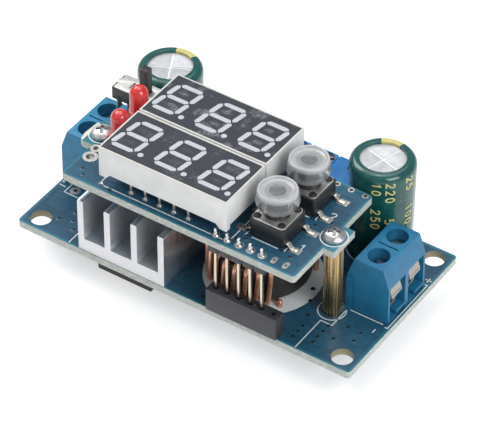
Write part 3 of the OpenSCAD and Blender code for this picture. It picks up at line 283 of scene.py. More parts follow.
def plastic(name, colour, roughness, grain=6.0, depth=0.012, dust=0.4, specular=0.5):
    g, place = newFinish(name)
    cloud = noise(place, 0.55, 3.0, 0.6)
    fine = noise(place, grain, 3.0, 0.65)
    base = mottled(cloud, tint(colour, 0.9), tint(colour, 1.1))
    base = blend(specks(place, 1.0, dust) * 0.35, base, rgb(0.75, 0.76, 0.78))
    return close(g, {
        "Base Color": base, "Roughness": roughness + (fine - 0.5) * 0.22 + (cloud - 0.5) * 0.12,
        "Specular IOR Level": specular, "Normal": bump(fine, depth, 0.6)})


def metal(name, colour, roughness, grain=(1.0, 1.0, 1.0), scale=5.0, depth=0.006):
    g, place = newFinish(name)
    streak = noise(stretched(place, grain), scale, 3.0, 0.6)
    cloud = noise(place, 0.8)
    base = mottled(streak, tint(colour, 0.82), tint(colour, 1.08), 0.25, 0.75)
    base = blend(ramp(cloud, 0.5, 0.8) * 0.35, base, tint(colour, 0.7))
    return close(g, {
        "Base Color": base, "Metallic": 1.0, "Roughness": roughness + (streak - 0.5) * 0.25 + (cloud - 0.5) * 0.1,
        "Normal": bump(streak, depth, 0.5)})


boardLook = {
    "copper": rgb(0.022, 0.088, 0.150), "bare": rgb(0.016, 0.066, 0.118), "gap": rgb(0.010, 0.045, 0.085),
    # the colour for the band along the cut edges is painted light, a paler mask
    "cloud": rgb(0.030, 0.150, 0.225), "rim": rgb(0.045, 0.23, 0.29), "dust": rgb(0.5, 0.6, 0.65),
    "laminate": rgb(0.42, 0.46, 0.43), "fibre": rgb(0.58, 0.61, 0.57), "rough": rgb(0.38, 0.43, 0.38),
    # the near black colour for the walls of the small holes is painted shade
    "holeWallShade": rgb(0.06, 0.058, 0.05), "snapped": rgb(0.74, 0.73, 0.64), "hole": rgb(0.25, 0.23, 0.15),
    "holeAt": (27.1, 12.75), "holeReach": 2.1,
    "snapReach": 1.87,  # how far the snapped tab stands out from the board
    "between": 8.0,  # a height between the boards
}


def boardFinish():
    look = boardLook
    g, place = newFinish("board_mask")
    x, y, z = split(place)
    # Copper areas under the mask, parted by narrow gaps
    flat = stretched(place, (0.16, 0.16, 0.0))
    areas = g.add("ShaderNodeTexBrick", {"offset": 0.37, "squash": 0.6, "squash_frequency": 3}, {
        "Vector": flat, "Color1": grey(1), "Color2": grey(0.25), "Mortar": grey(0), "Scale": 1.0,
        "Mortar Size": 0.022, "Mortar Smooth": 0.2, "Brick Width": 1.1, "Row Height": 0.52})
    copper, gap = areas.sisters()[:2]
    traces = g.add("ShaderNodeTexWave", {"wave_type": "BANDS", "bands_direction": "DIAGONAL"},
                   {"Vector": flat, "Scale": 2.2, "Distortion": 0.0}, 1)
    runs = (traces > 0.62) * (noise(place, 0.09, 1.0) > 0.5)
    cloud = noise(place, 0.35, 3.0, 0.6)
    colour = blend(copper, look["bare"], look["copper"])
    colour = blend(runs * 0.35, colour, look["bare"])
    colour = blend(gap * 0.25, colour, look["gap"])
    colour = blend(ramp(cloud, 0.35, 0.75) * 0.25, colour, look["cloud"])
    # Painted light: the mask is made paler along the cut edges of both boards, which lie outside the shade of the
    # parts above them
    mainEdge, upperEdge = boxOf("main_board")[1], boxOf("display_board")[1]
    lowerRim = g.work("MINIMUM", mainEdge.x - abs(x), mainEdge.y - abs(y))
    upperRim = g.work("MINIMUM", upperHalf - abs(x), upperEdge.y - upperMid - abs(y - upperMid))
    above = z > look["between"]
    inset = lowerRim * (1 - above) + upperRim * above
    rim = ramp(inset + cloud * 0.25, 0.75, 0.12)
    colour = blend(rim * 0.7, colour, look["rim"])
    colour = blend(specks(place, 0.9, 0.4) * 0.4, colour, look["dust"])
    # Bare laminate where the tab was snapped from its panel
    snapped = (x < -(upperHalf + look["snapReach"])) * above
    side = g.work("MAXIMUM", abs(facing(g)[2]) < 0.5, snapped)
    # Cut edge of the board, with its glass layers
    layers = noise(stretched(place, (0.7, 0.7, 5.0)), 2.2, 4.0, 0.7)
    rough = noise(place, 4.0, 3.0, 0.7)
    edge = mottled(layers, tint(look["laminate"], 0.72), look["fibre"], 0.35, 0.65)
    edge = blend(ramp(rough, 0.55, 0.75) * 0.5, edge, look["rough"])
    # Painted shade: the walls of the small holes are made near black
    edge = blend(inset > 0.35, edge, look["holeWallShade"])  # walls of the small holes
    dx, dy = abs(x) - look["holeAt"][0], abs(y) - look["holeAt"][1]
    inHole = (dx * dx + dy * dy) < look["holeReach"] ** 2
    edge = blend(inHole, edge, blend(layers, tint(look["hole"], 0.6), tint(look["hole"], 1.5)))
    edge = blend(snapped * 0.75, edge, look["snapped"])
    relief = copper * 0.2 - gap * 0.25 + noise(place, 2.5) * 0.2
    height = relief * (1 - side) + (layers + rough) * side
    return close(g, {
        "Base Color": blend(side, colour, edge), "Roughness": 0.27 + (cloud - 0.5) * 0.12 + side * 0.5,
        "Normal": bump(height, 0.02, 0.5)})


def heatsinkFinish():
    g, place = newFinish("black_anodised")
    nx, ny = facing(g)[:2]
    drawn = noise(stretched(place, (3.0, 0.25, 3.0)), 2.6, 3.0, 0.6)
    saw = noise(stretched(place, (0.5, 3.0, 4.0), (0, 24, 0)), 3.0, 3.0, 0.6)
    # Painted shade on the sides that face left, which are also rougher, and dust lies in the channels
    leftFacing = nx < -0.7
    dusty = split(place)[0] < boxOf("heatsink")[1].x - 0.3
    walls = mottled(drawn, rgb(0.74, 0.76, 0.79), rgb(0.79, 0.81, 0.84))
    walls = blend(specks(place, 0.9, 0.5) * 0.45, walls, grey(0.5))
    walls = blend(leftFacing, walls, rgb(0.50, 0.51, 0.53))
    # The sawn ends are rougher than the drawn walls
    cut = abs(ny) > 0.7
    ends = mottled(saw, rgb(0.62, 0.62, 0.645), rgb(0.74, 0.74, 0.76))
    return close(g, {
        "Base Color": blend(cut, walls, ends), "Metallic": (1 - cut) * (0.89 - dusty * 0.07) + cut * 0.65,
        "Roughness": 0.25 + (drawn - 0.5) * 0.05 + cut * 0.21 + leftFacing * 0.11,
        "Normal": bump(drawn * (1 - cut) * 0.15 + saw * cut, 0.004, 0.4)})


faceLook = {"pitch": 7.6, "shift": -3.18, "loop": 1.55, "dust": {"near": 0.45, "far": 1.75}}


def faceFinish(name, node, dust):
    g, place = newFinish(name)
    x, y = split(place)[:2]
    along = wrapped(x - faceLook["shift"], faceLook["pitch"])
    across = abs(y - middleOf(node).y) - faceLook["loop"]
    ragged = noise(place, 3.2, 4.0, 0.75)
    broad = noise(place, 0.42, 3.0, 0.6)
    # Dust that stays in the loops of the digits and in wiped drifts
    loops = ramp(along * along * 0.9 + across * across * 3.2, 1.0, 0.1)
    drift = ramp(broad, 0.52, 0.72)
    dusty = ramp(ragged, 0.32, 0.72) * (loops * 0.30 + drift * 0.45) * dust
    scratch = noise(stretched(place, (0.35, 6.0, 1.0), (0, 0, 31)), 2.0)
    colour = mottled(ragged, rgb(0.021, 0.025, 0.035), rgb(0.032, 0.037, 0.050))
    colour = blend(dusty, colour, rgb(0.34, 0.35, 0.38))
    colour = blend((scratch > 0.71) * 0.25, colour, rgb(0.2, 0.2, 0.22))
    colour = blend(specks(place, 1.0, 0.5) * 0.5, colour, rgb(0.6, 0.6, 0.62))
    return close(g, {
        "Base Color": colour, "Roughness": 0.55 + dusty * 0.25 + (ragged - 0.5) * 0.1, "Specular IOR Level": 0.35,
        "Normal": bump(ragged, 0.01, 0.4)})


def segmentFinish():
    g, place = newFinish("segment_grey")
    fine = noise(stretched(place, (5.0, 1.0, 1.0), (0, 0, 9)), 2.2, 3.0, 0.6)
    cloud = noise(place, 0.9)
    colour = mottled(fine, rgb(0.41, 0.425, 0.455), rgb(0.50, 0.515, 0.54), 0.25, 0.75)
    colour = blend(ramp(cloud, 0.45, 0.8) * 0.3, colour, rgb(0.39, 0.40, 0.425))
    return close(g, {"Base Color": colour, "Roughness": 0.42 + (fine - 0.5) * 0.2, "Normal": bump(fine, 0.008, 0.4)})


def caseFinish():
    g, place = newFinish("display_white")
    cloud = noise(place, 0.35, 3.0, 0.6)
    fine = noise(place, 7.0, 3.0, 0.6)
    colour = mottled(cloud, rgb(0.66, 0.67, 0.67), rgb(0.72, 0.725, 0.725))
    onTop = split(place)[2] > boxOf("near_display_case")[1].z - 0.12
    colour = blend(onTop * 0.7, colour, rgb(0.52, 0.505, 0.465))
    colour = blend(specks(place, 0.6, 0.5) * 0.3, colour, rgb(0.4, 0.4, 0.38))
    return close(g, {"Base Color": colour, "Roughness": 0.42 + (fine - 0.5) * 0.2, "Normal": bump(fine, 0.01, 0.5)})


def ledFinish():
    g, place = newFinish("led_red")
    swirl = noise(stretched(place, (1.0, 1.0, 0.3)), 1.4)
    colour = mottled(swirl, rgb(0.90, 0.038, 0.042), rgb(0.98, 0.08, 0.075))
    return close(g, {
        "Base Color": colour, "Roughness": 0.10 + swirl * 0.08, "IOR": 1.52, "Transmission Weight": 0.5,
        "Coat Weight": 0.3, "Coat Roughness": 0.05})


capLook = {"disc": 1.25, "rim": 2.05, "clear": rgb(0.36, 0.37, 0.39), "milk": rgb(0.64, 0.65, 0.66),
           "footMilk": rgb(0.96, 0.97, 0.98)}


def capFinish(name, node):
    g, place = newFinish(name)
    x, y, z = split(place)
    centre, low, top = middleOf(node), boxOf(node)[0].z, boxOf(node)[1].z
    across, along = x - centre.x, y - centre.y
    reach = g.work("SQRT", across * across + along * along)
    fine = noise(place, 3.0, 4.0, 0.7)
    cloud = noise(place, 0.9)
    # Clear over the plunger and down the wall, milky round the rims
    outside = ramp(reach + (cloud - 0.5) * 0.2, capLook["disc"] - 0.1, capLook["disc"] + 0.1)
    rim = ramp(reach, capLook["rim"] - 0.3, capLook["rim"] + 0.1) * ramp(z, top - 0.7, top - 0.15)
    foot = ramp(z, low + 0.75, low + 0.2)
    crown = ramp(z, top - 1.0, top - 0.4)
    share = 0.04 + crown * (0.10 + outside * 0.16) + rim * 0.26 + foot * 0.7 + cloud * 0.06
    rough = 0.12 + (cloud - 0.5) * 0.06
    clear = g.add("ShaderNodeBsdfPrincipled", None, {
        "Base Color": blend(cloud, tint(capLook["clear"], 0.9), capLook["clear"]), "Roughness": rough,
        "IOR": 1.41, "Transmission Weight": 0.9})
    white = blend(fine, tint(capLook["milk"], 0.9), tint(capLook["milk"], 1.1))
    white = blend(foot, white, capLook["footMilk"])
    milk = g.add("ShaderNodeBsdfPrincipled", None, {
        "Base Color": white, "Roughness": rough, "Normal": bump(fine, 0.006, 0.3)})
    shader = g.add("ShaderNodeMixShader", None, {0: share, 1: clear, 2: milk})
    g.add("ShaderNodeOutputMaterial", None, {"Surface": shader})
    return g.material


sleeveLook = {"green": rgb(0.008, 0.090, 0.080), "deep": rgb(0.005, 0.064, 0.060), "gold": rgb(0.56, 0.50, 0.19),
              "dust": rgb(0.5, 0.55, 0.55), "bandHalf": 24, "markStep": 3.2, "bandAt": {"left": 87, "right": 102}}


def sleeveFinish(name, node, bandAt):
    look = sleeveLook
    g, place = newFinish(name)
    x, y, z = split(place)
    centre = middleOf(node)
    across, along = x - centre.x, y - centre.y
    cosine, sine = polar(bandAt)
    # Angle round the can, measured from the middle of the polarity band
    angle = abs(g.work("ARCTAN2", along * cosine - across * sine, across * cosine + along * sine))
    band = angle < math.radians(look["bandHalf"])
    height = wrapped(z, look["markStep"])
    minus = (abs(height) < 0.75) * (angle < 0.06) * (z < boxOf(node)[1].z - 1.6)
    cloud = noise(place, 0.5)
    fine = noise(place, 2.2, 3.0)
    colour = mottled(cloud, look["deep"], look["green"])
    gold = blend(fine, tint(look["gold"], 0.85), tint(look["gold"], 1.1))
    colour = blend(band * (1 - minus), colour, gold)
    colour = blend(specks(place, 0.9, 0.4) * 0.3, colour, look["dust"])
    return close(g, {
        "Base Color": colour, "Roughness": 0.17 + (cloud - 0.5) * 0.08, "IOR": 1.55,
        "Normal": bump(cloud, 0.05, 0.25)})


def canFinish():
    g, place = newFinish("can_aluminium")
    x, z = split(place)[::2]
    brushed = noise(stretched(place, (0.4, 5.0, 1.0), (0, 0, 25)), 2.0, 3.0, 0.6)
    patches = noise(place, 0.9, 4.0, 0.7)
    colour = mottled(patches, rgb(0.46, 0.47, 0.49), rgb(0.62, 0.63, 0.65))
    # Painted shade makes the left can darker, and the pressed crosses keep a bright burnished floor
    right = x > 0.0
    top = right * boxOf("right_capacitor_can")[1].z + (1 - right) * boxOf("left_capacitor_can")[1].z
    colour = blend((1 - right) * 0.3, colour, rgb(0.34, 0.35, 0.37))
    colour = blend((z < top - 0.08) * (z > top - 0.3), colour, grey(0.84))
    return close(g, {
        "Base Color": colour, "Metallic": 0.35, "Roughness": 0.55 + (brushed - 0.5) * 0.25,
        "Normal": bump(brushed + patches, 0.01, 0.4)})


chipEdge = 0.02  # how far past its body a chip is still black


def chipFinish(name, centre, size):  # the moulded body is black and the leads are tinned
    g, place = newFinish(name)
    x, y = split(place)[:2]
    body = (abs(x - centre[0]) < size[0] / 2 + chipEdge) * (abs(y - centre[1]) < size[1] / 2 + chipEdge)
    fine = noise(place, 5.0, 3.0, 0.7)
    black = mottled(fine, rgb(0.016, 0.016, 0.018), rgb(0.034, 0.034, 0.037))
    tin = mottled(fine, rgb(0.55, 0.54, 0.51), rgb(0.74, 0.73, 0.70))
    return close(g, {
        "Base Color": blend(body, tin, black), "Metallic": 1 - body,
        "Roughness": 0.32 + body * 0.25 + (fine - 0.5) * 0.15, "Normal": bump(fine, 0.02, 0.4)})


def standoffFinish():
    g, place = newFinish("standoff_brass")
    drawn = noise(stretched(place, (2.0, 2.0, 0.06)), 2.4)
    cloud = noise(place, 0.5)
    colour = mottled(drawn, rgb(0.40, 0.29, 0.14), rgb(0.80, 0.62, 0.36), 0.25, 0.75)
    # darker towards the bottom
    lowerDarkening = ramp(split(place)[2] + (cloud - 0.5) * 3.0, 9.0, 3.0)
    colour = blend(lowerDarkening * 0.55, colour, rgb(0.20, 0.16, 0.10))
    return close(g, {
        "Base Color": colour, "Metallic": 1.0, "Roughness": 0.27 + (drawn - 0.5) * 0.2,
        "Normal": bump(drawn, 0.006, 0.4)})


def screwFinish():
    g, place = newFinish("nickel_heads")
    x, y, z = split(place)
    across, along = abs(x) - postX, y - postY
    top = boxOf("standoff_screws")[1].z
    # Painted shade inside the cross recess, under the dome, which is also rougher
    recessShade = (across * across + along * along < 1.4) * (z < top - 0.3) * (z > top - 1.5)
    cloud = noise(place, 1.1, 3.0, 0.6)
    colour = mottled(cloud, rgb(0.56, 0.56, 0.57), rgb(0.70, 0.70, 0.71))
    colour = blend(recessShade * 0.6, colour, rgb(0.2, 0.2, 0.21))
    return close(g, {
        "Base Color": colour, "Metallic": 1.0, "Roughness": 0.33 + (cloud - 0.5) * 0.12 + recessShade * 0.15})


def wireFinish():
    g, place = newFinish("copper_enamel")
    cloud = noise(place, 0.6, 3.0, 0.6)
    fine = noise(place, 4.0, 3.0)
    colour = mottled(cloud, rgb(0.62, 0.27, 0.16), rgb(0.80, 0.43, 0.29))
    colour = blend(ramp(fine, 0.62, 0.8) * 0.4, colour, rgb(0.32, 0.13, 0.07))
    return close(g, {
        "Base Color": colour, "Metallic": 0.65, "Roughness": 0.30 + (fine - 0.5) * 0.2, "Coat Weight": 0.4,
        "Coat Roughness": 0.12, "Normal": bump(fine, 0.01, 0.4)})


def pinFinish():
    g, place = newFinish("header_pin")
    drawn = noise(stretched(place, (2.0, 2.0, 0.3)), 1.6)
    colour = mottled(drawn, rgb(0.62, 0.53, 0.42), rgb(0.74, 0.65, 0.53))
    colour = blend(ramp(split(place)[2], upperLow, upperTop), colour, rgb(0.72, 0.72, 0.73))
    return close(g, {"Base Color": colour, "Metallic": 1.0, "Roughness": 0.27 + (drawn - 0.5) * 0.15})


def printFinish():
    g, place = newFinish("board_print")
    fine = noise(place, 5.0, 3.0, 0.7)
    colour = mottled(fine, rgb(0.62, 0.66, 0.67), rgb(0.80, 0.83, 0.83))
    return close(g, {"Base Color": colour, "Roughness": 0.55 + (fine - 0.5) * 0.2, "Normal": bump(fine, 0.01, 0.5)})


finish = {
    "board_mask": boardFinish(),
    "standoff_brass": standoffFinish(),
    "nickel": metal("nickel", rgb(0.64, 0.64, 0.65), 0.34, scale=0.8, depth=0.0),
    "display_white": caseFinish(),
    "segment_grey": segmentFinish(),
    "led_red": ledFinish(),
    "tinned_wire": metal("tinned_wire", rgb(0.78, 0.75, 0.67), 0.30, (2.0, 2.0, 0.5), 2.5),
    "black_plastic": plastic("black_plastic", rgb(0.016, 0.017, 0.021), 0.40, grain=5.0, dust=0.45),
    "steel_sheet": metal("steel_sheet", rgb(0.80, 0.78, 0.74), 0.46, (0.4, 4.0, 1.0), 2.6),
    "black_anodised": heatsinkFinish(),
    "ferrite": plastic("ferrite", rgb(0.020, 0.018, 0.016), 0.45, grain=2.5, depth=0.03, dust=0.3),
    "copper_enamel": wireFinish(),
    "can_aluminium": canFinish(),
    "terminal_blue": plastic("terminal_blue", rgb(0.013, 0.15, 0.29), 0.42, 7.0, 0.008, 0.35, 0.4),
    "trimmer_blue": plastic("trimmer_blue", rgb(0.022, 0.175, 0.46), 0.36, depth=0.01, dust=0.2),
    "adjuster_brass": metal("adjuster_brass", rgb(0.29, 0.22, 0.12), 0.42, scale=3.0),
    "solder": metal("solder", rgb(0.72, 0.72, 0.73), 0.22, scale=1.2),
    "contact": metal("contact", rgb(0.50, 0.475, 0.45), 0.42, (4.0, 4.0, 0.4), 2.4),
    "print": printFinish(),
    "socket": plastic("socket_plastic", rgb(0.040, 0.041, 0.048), 0.48, dust=0.35),
    "gold": plastic("gold_print", rgb(0.60, 0.54, 0.20), 0.42, grain=5.0, depth=0.004, dust=0.0),
    # a black fill that is painted shade for open holes
    "hole_shade": plastic("painted_hole_dark", rgb(0.006, 0.007, 0.008), 0.6, depth=0.005, dust=0.0),
    "pad_tin": metal("pad_tin", rgb(0.53, 0.525, 0.51), 0.42, scale=2.5),
}
nodeFinish = {  # nodes that differ from the rest of their slot
    "regulator_chip": chipFinish("regulator_black", (-12.24, -7.45), (9.8, 9.2)),
    "catch_diode": chipFinish("diode_black", (-2.04, -7.45), (7.0, 6.0)),
    "display_chip": chipFinish("driver_black", (-2.98, -9.82), (9.9, 3.9)),
    "standoff_screws": screwFinish(),
    # Painted shade: the display pins get a darker tin than the other leads
    "display_pins": metal("shaded_tin", rgb(0.42, 0.41, 0.39), 0.38, (2.0, 2.0, 0.5), 2.5),
    "header_socket": finish["socket"],
    "header_strip": finish["socket"],
    "terminal_contacts": finish["contact"],
    "header_pins": pinFinish(),
    "slide_switch_cover": metal("switch_plate", rgb(0.60, 0.59, 0.57), 0.58, (0.4, 4.0, 1.0), 2.6),
    # Painted light: the left housing gets a lighter copy of the terminal blue
    "left_terminal_housing": plastic("left_terminal_lit_blue", rgb(0.022, 0.215, 0.395), 0.42, 7.0, 0.008, 0.35, 0.4),
}
for place, dust in faceLook["dust"].items():
    nodeFinish[place + "_display_face"] = faceFinish(place + "_face", place + "_display_face", dust)
    nodeFinish[place + "_button_cap"] = capFinish(place + "_cap", place + "_button_cap")
for place, bandAt in sleeveLook["bandAt"].items():
    nodeFinish[place + "_capacitor_sleeve"] = sleeveFinish(place + "_sleeve", place + "_capacitor_sleeve", bandAt)
for pole in poles:
    nodeFinish[pole + "_cage"] = finish["contact"]
print("finishes made:", len(bpy.data.materials))


# Meshes

class Shape:  # points and faces in millimetres
    def __init__(self):
        self.points = []
        self.faces = []

    def add(self, points, faces):
        start = len(self.points)
        self.points += [tuple(point) for point in points]
        self.faces += [tuple(start + corner for corner in face) for face in faces]

    def prism(self, outline, low, high):  # a flat outline with a thickness
        count = len(outline)
        sides = [(i, (i + 1) % count, count + (i + 1) % count, count + i) for i in range(count)]
        self.add([(x, y, z) for z in (low, high) for x, y in outline],
                 [range(count - 1, -1, -1), range(count, 2 * count)] + sides)

    def strip(self, sections, closed=False):  # a skin over sections of four corners each
        total = len(sections)
        faces = []
        for i in range(total if closed else total - 1):
            a, b = 4 * i, 4 * ((i + 1) % total)
            faces += [(a + k, a + (k + 1) % 4, b + (k + 1) % 4, b + k) for k in range(4)]
        if not closed:
            faces += [(3, 2, 1, 0), range(4 * total - 4, 4 * total)]
        self.add([corner for section in sections for corner in section], faces)

    def lathe(self, profile, centre, steps):  # profile of (radius, height), turned round Z
        rings, points, faces = [], [], []
        for radius, height in profile:
            count = steps if radius > 1e-6 else 1  # one point on the axis
            rings.append(range(len(points), len(points) + count))
            for k in range(count):
                x, y = polar(360 * k / steps, radius)
                points.append((centre[0] + x, centre[1] + y, centre[2] + height))
        for low, high in zip(rings, rings[1:]):
            for k in range(steps):
                n = (k + 1) % steps
                corners = (low[k % len(low)], low[n % len(low)], high[n % len(high)], high[k % len(high)])
                face = list(dict.fromkeys(corners))
                if len(face) > 2:
                    faces.append(face)
        self.add(points, faces)

    def ring(self, x, y, z, inner, outer, thick, steps):  # flat washer lying on z
        self.lathe([(inner, 0), (outer, 0), (outer, thick), (inner, thick), (inner, 0)], (x, y, z), steps)

    def make(self, name):
        mesh = bpy.data.meshes.new(name)
        mesh.from_pydata([(x * mm, y * mm, z * mm) for x, y, z in self.points], [], self.faces)
        mesh.validate()
        return outward(newObject(name, mesh))


def outward(obj):
    work = bmesh.new()
    work.from_mesh(obj.data)
    bmesh.ops.remove_doubles(work, verts=work.verts, dist=1e-8)
    bmesh.ops.recalc_face_normals(work, faces=work.faces)
    work.to_mesh(obj.data)
    work.free()
    return obj


def smooth(mesh, angle):
    for face in mesh.polygons:
        face.use_smooth = True
    mesh.set_sharp_from_angle(angle=math.radians(angle))


def plain(obj):  # the finished mesh of an object with modifiers
    shown = obj.evaluated_get(bpy.context.evaluated_depsgraph_get())
    mesh = bpy.data.meshes.new_from_object(shown)
    obj.modifiers.clear()
    obj.data = mesh
    return obj


def soften(obj, width, angle, miter):
    soft = obj.modifiers.new("soft edges", "BEVEL")
    soft.width = width * mm
    soft.segments = 2
    soft.limit_method = "ANGLE"
    soft.angle_limit = math.radians(angle)
    soft.miter_outer = miter
    return plain(obj)


def settle(obj, body, material, replaced=()):  # last step of every piece
    obj.data.materials.clear()
    obj.data.materials.append(material)
    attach(obj, body)
    if replaced:
        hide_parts(*replaced)


def turnedPiece(name, profile, steps):
    shape = Shape()
    shape.lathe(profile, (0, 0, 0), steps)
    return shape.make(name)


def boxLine(x0, y0, x1, y1):
    return [(x0, y0), (x1, y0), (x1, y1), (x0, y1)]


def circleLine(x, y, radius, steps=40):
    return [(x + dx, y + dy) for dx, dy in (polar(360 * k / steps, radius) for k in range(steps))]


def ribbon(shape, line, width, thick, lay, closed=False, step=0.6):
    # A printed line: a thin strip along the points, put on a surface by lay(across, along, height)
    dense = []
    count = len(line)
    for i in range(count if closed else count - 1):
        a, b = Vector(line[i]), Vector(line[(i + 1) % count])
        cuts = max(1, math.ceil((b - a).length / step))
        dense += [a.lerp(b, k / cuts) for k in range(cuts)]
    if not closed:
        dense.append(Vector(line[-1]))
    total = len(dense)
    sections = []
    for i, here in enumerate(dense):
        back = dense[i - 1] if closed or i else here
        ahead = dense[(i + 1) % total] if closed or i < total - 1 else here
        before, after = (here - back), (ahead - here)
        before = before.normalized() if before.length else after.normalized()
        after = after.normalized() if after.length else before
        along = (before + after).normalized() if (before + after).length > 1e-6 else after
        across = Vector((-along.y, along.x))
        reach = width / 2 / max(0.5, along.dot(after))
        left, right = here + across * reach, here - across * reach
        sections.append([lay(left.x, left.y, 0), lay(right.x, right.y, 0),
                         lay(right.x, right.y, thick), lay(left.x, left.y, thick)])
    shape.strip(sections, closed)


# CAD shapes with softened edges

# width of the softened edges in mm, angle up to which edges shade smooth
edges = {
    "main_board": (0.0, 30), "display_board": (0.0, 30), "standoffs": (0.0, 12), "standoff_screws": (0.05, 30),
    "display_pins": (0.04, 40), "led_leads": (0.03, 40), "slide_switch_base": (0.10, 30),
    "slide_switch_cover": (0.04, 30), "slide_switch_lever": (0.04, 30), "slide_switch_pins": (0.04, 40),
    "button_covers": (0.05, 30), "button_domes": (0.0, 30), "heatsink": (0.07, 30), "toroid_core": (0.0, 40),
    "header_socket": (0.06, 30), "header_strip": (0.06, 30), "header_pins": (0.06, 30),
    "capacitor_leads": (0.04, 40), "terminal_contacts": (0.04, 30), "trimmer_pins": (0.04, 40),
    "regulator_chip": (0.12, 30), "catch_diode": (0.10, 30), "display_chip": (0.06, 30),
}
repeated = {
    pair: {"display_case": (0.05, 30), "display_face": (0.0, 30), "display_segments": (0.0, 30), "led": (0.06, 35),
           "button_base": (0.08, 30), "button_plunger": (0.08, 30), "button_cap": (0.05, 38)},
    ("left", "right"): {"capacitor_can": (0.03, 30), "capacitor_sleeve": (0.05, 45), "terminal_housing": (0.12, 30)},
    ("left", "middle", "right"): {"trimmer_body": (0.12, 30), "trimmer_screw": (0.05, 30)},
    poles: {"cage": (0.05, 30), "screw": (0.06, 30)},
}
for places, kinds in repeated.items():
    edges.update({place + "_" + kind: values for place in places for kind, values in kinds.items()})

# only the edges of the outer box are softened here, and those of the openings stay sharp
boxy = {"header_socket", "left_terminal_housing", "right_terminal_housing"}
boxEdge = {"near": 0.02, "shortest": 1.0, "flattest": 20}

# round pieces turned about their own axis to show their marks as in the photo, in degrees
turned = {"left_capacitor_can": 6, "right_capacitor_can": -36}


def onBoxEdge(edge, low, high):
    for vert in edge.verts:
        hits = sum(abs(vert.co[k] / mm - end[k]) < boxEdge["near"] for k in range(3) for end in (low, high))
        if hits < 2:
            return False
    bend = math.degrees(edge.calc_face_angle(0))
    return edge.calc_length() > boxEdge["shortest"] * mm and bend > boxEdge["flattest"]


def dress(node, width, angle):
    source = nodes[node].data
    mesh = bpy.data.meshes.new(node + "_shown")
    work = bmesh.new()
    points = [work.verts.new(v.co) for v in source.vertices]
    for face in source.polygons:
        try:
            work.faces.new([points[k] for k in face.vertices])
        except ValueError:
            pass  # a face that is there twice
    bmesh.ops.remove_doubles(work, verts=work.verts, dist=1e-6)
    if node in turned:
        bmesh.ops.rotate(work, cent=middleOf(node) * mm, verts=work.verts,
                         matrix=Matrix.Rotation(math.radians(turned[node]), 3, "Z"))
    flat = math.radians(0.6)
    bmesh.ops.dissolve_limit(work, angle_limit=flat, verts=work.verts, edges=work.edges)
    bmesh.ops.recalc_face_normals(work, faces=work.faces)
    if node in boxy:
        low, high = boxOf(node)
        chosen = [edge for edge in work.edges if onBoxEdge(edge, low, high)]
        bmesh.ops.bevel(work, geom=chosen, offset=width * mm, offset_type="OFFSET", segments=2, profile=0.5,
                        affect="EDGES", clamp_overlap=True)
    work.to_mesh(mesh)
    work.free()
    obj = newObject(node + "_shown", mesh)
    if width and node not in boxy:
        soften(obj, width, max(angle, 32), "MITER_ARC")
    smooth(obj.data, angle)
    settle(obj, bodyOf[node], nodeFinish.get(node) or finish[slotOf[node]], (node,))


for node, (width, angle) in edges.items():
    dress(node, width, angle)
print("edges softened:", len(edges))


# Geometry Nodes

def newTree(name, inputs):
    tree = bpy.data.node_groups.new(name, "GeometryNodeTree")
    tree.interface.new_socket("Geometry", in_out="INPUT", socket_type="NodeSocketGeometry")
    for label, kind in inputs.items():
        tree.interface.new_socket(label, in_out="INPUT", socket_type="NodeSocket" + kind)
    tree.interface.new_socket("Geometry", in_out="OUTPUT", socket_type="NodeSocketGeometry")
    g = Graph(tree)
    return tree, g, g.add("NodeGroupInput").sisters()


def closeTree(g, shape, material):
    shape = g.add("GeometryNodeRealizeInstances", None, {"Geometry": shape})
    shape = g.add("GeometryNodeSetMaterial", None, {"Geometry": shape, "Material": material})
    g.add("NodeGroupOutput", None, {"Geometry": shape})


def grow(obj, tree, values):  # runs a tree on an object and keeps the plain mesh
    rule = obj.modifiers.new(tree.name, "NODES")
    rule.node_group = tree
    for item in tree.interface.items_tree:
        if item.name in values:
            rule[item.identifier] = values[item.name]
    outward(plain(obj))


def pointsObject(name, rows):  # rows of place, turn and size
    mesh = bpy.data.meshes.new(name)
    mesh.from_pydata([tuple(c * mm for c in row[0]) for row in rows], [], [])
    for label, index in (("turn", 1), ("size", 2)):
        layer = mesh.attributes.new(label, "FLOAT_VECTOR", "POINT")
        for k, row in enumerate(rows):
            layer.data[k].vector = row[index]
    return newObject(name, mesh)


def scatterTree(name, material):
    tree, g, start = newTree(name, {"Piece": "Object", "Size": "Float"})
    piece = g.add("GeometryNodeObjectInfo", None, {"Object": start[1]}).sisters()[-1]
    turn = g.add("GeometryNodeInputNamedAttribute", {"data_type": "FLOAT_VECTOR"}, {"Name": "turn"})
    size = g.add("GeometryNodeInputNamedAttribute", {"data_type": "FLOAT_VECTOR"}, {"Name": "size"})
    size = g.add("ShaderNodeVectorMath", {"operation": "SCALE"}, {0: size, "Scale": start[2]})
    shape = g.add("GeometryNodeInstanceOnPoints", None,
                  {"Points": start[0], "Instance": piece, "Rotation": turn, "Scale": size})
    closeTree(g, shape, material)
    return tree


def scatter(name, rows, prototype, material, replaced=(), angle=40):
    obj = pointsObject(name, rows)
    grow(obj, scatterTree(name, material), {"Piece": prototype, "Size": 1.0})
    bpy.data.objects.remove(prototype)
    smooth(obj.data, angle)
    settle(obj, "boards", material, replaced)


# Solder and pads

solderLook = {
    "seed": 11, "spread": 0.10, "padOver": 0.12, "padThick": 0.035, "small": 0.8, "smallTo": 5.0, "near": 0.05,
    # a hollow cone of solder, drawn up round its lead: radius and height
    "fillet": [(0.0, 0.0), (1.0, 0.0), (0.97, 0.10), (0.84, 0.22), (0.70, 0.36), (0.60, 0.55), (0.55, 0.76),
               (0.51, 0.92), (0.44, 1.0), (0.25, 1.02), (0.0, 1.02)],
    "pad": [(0.0, 0.0), (1.0, 0.0), (0.98, 1.0), (0.0, 1.0)],
}


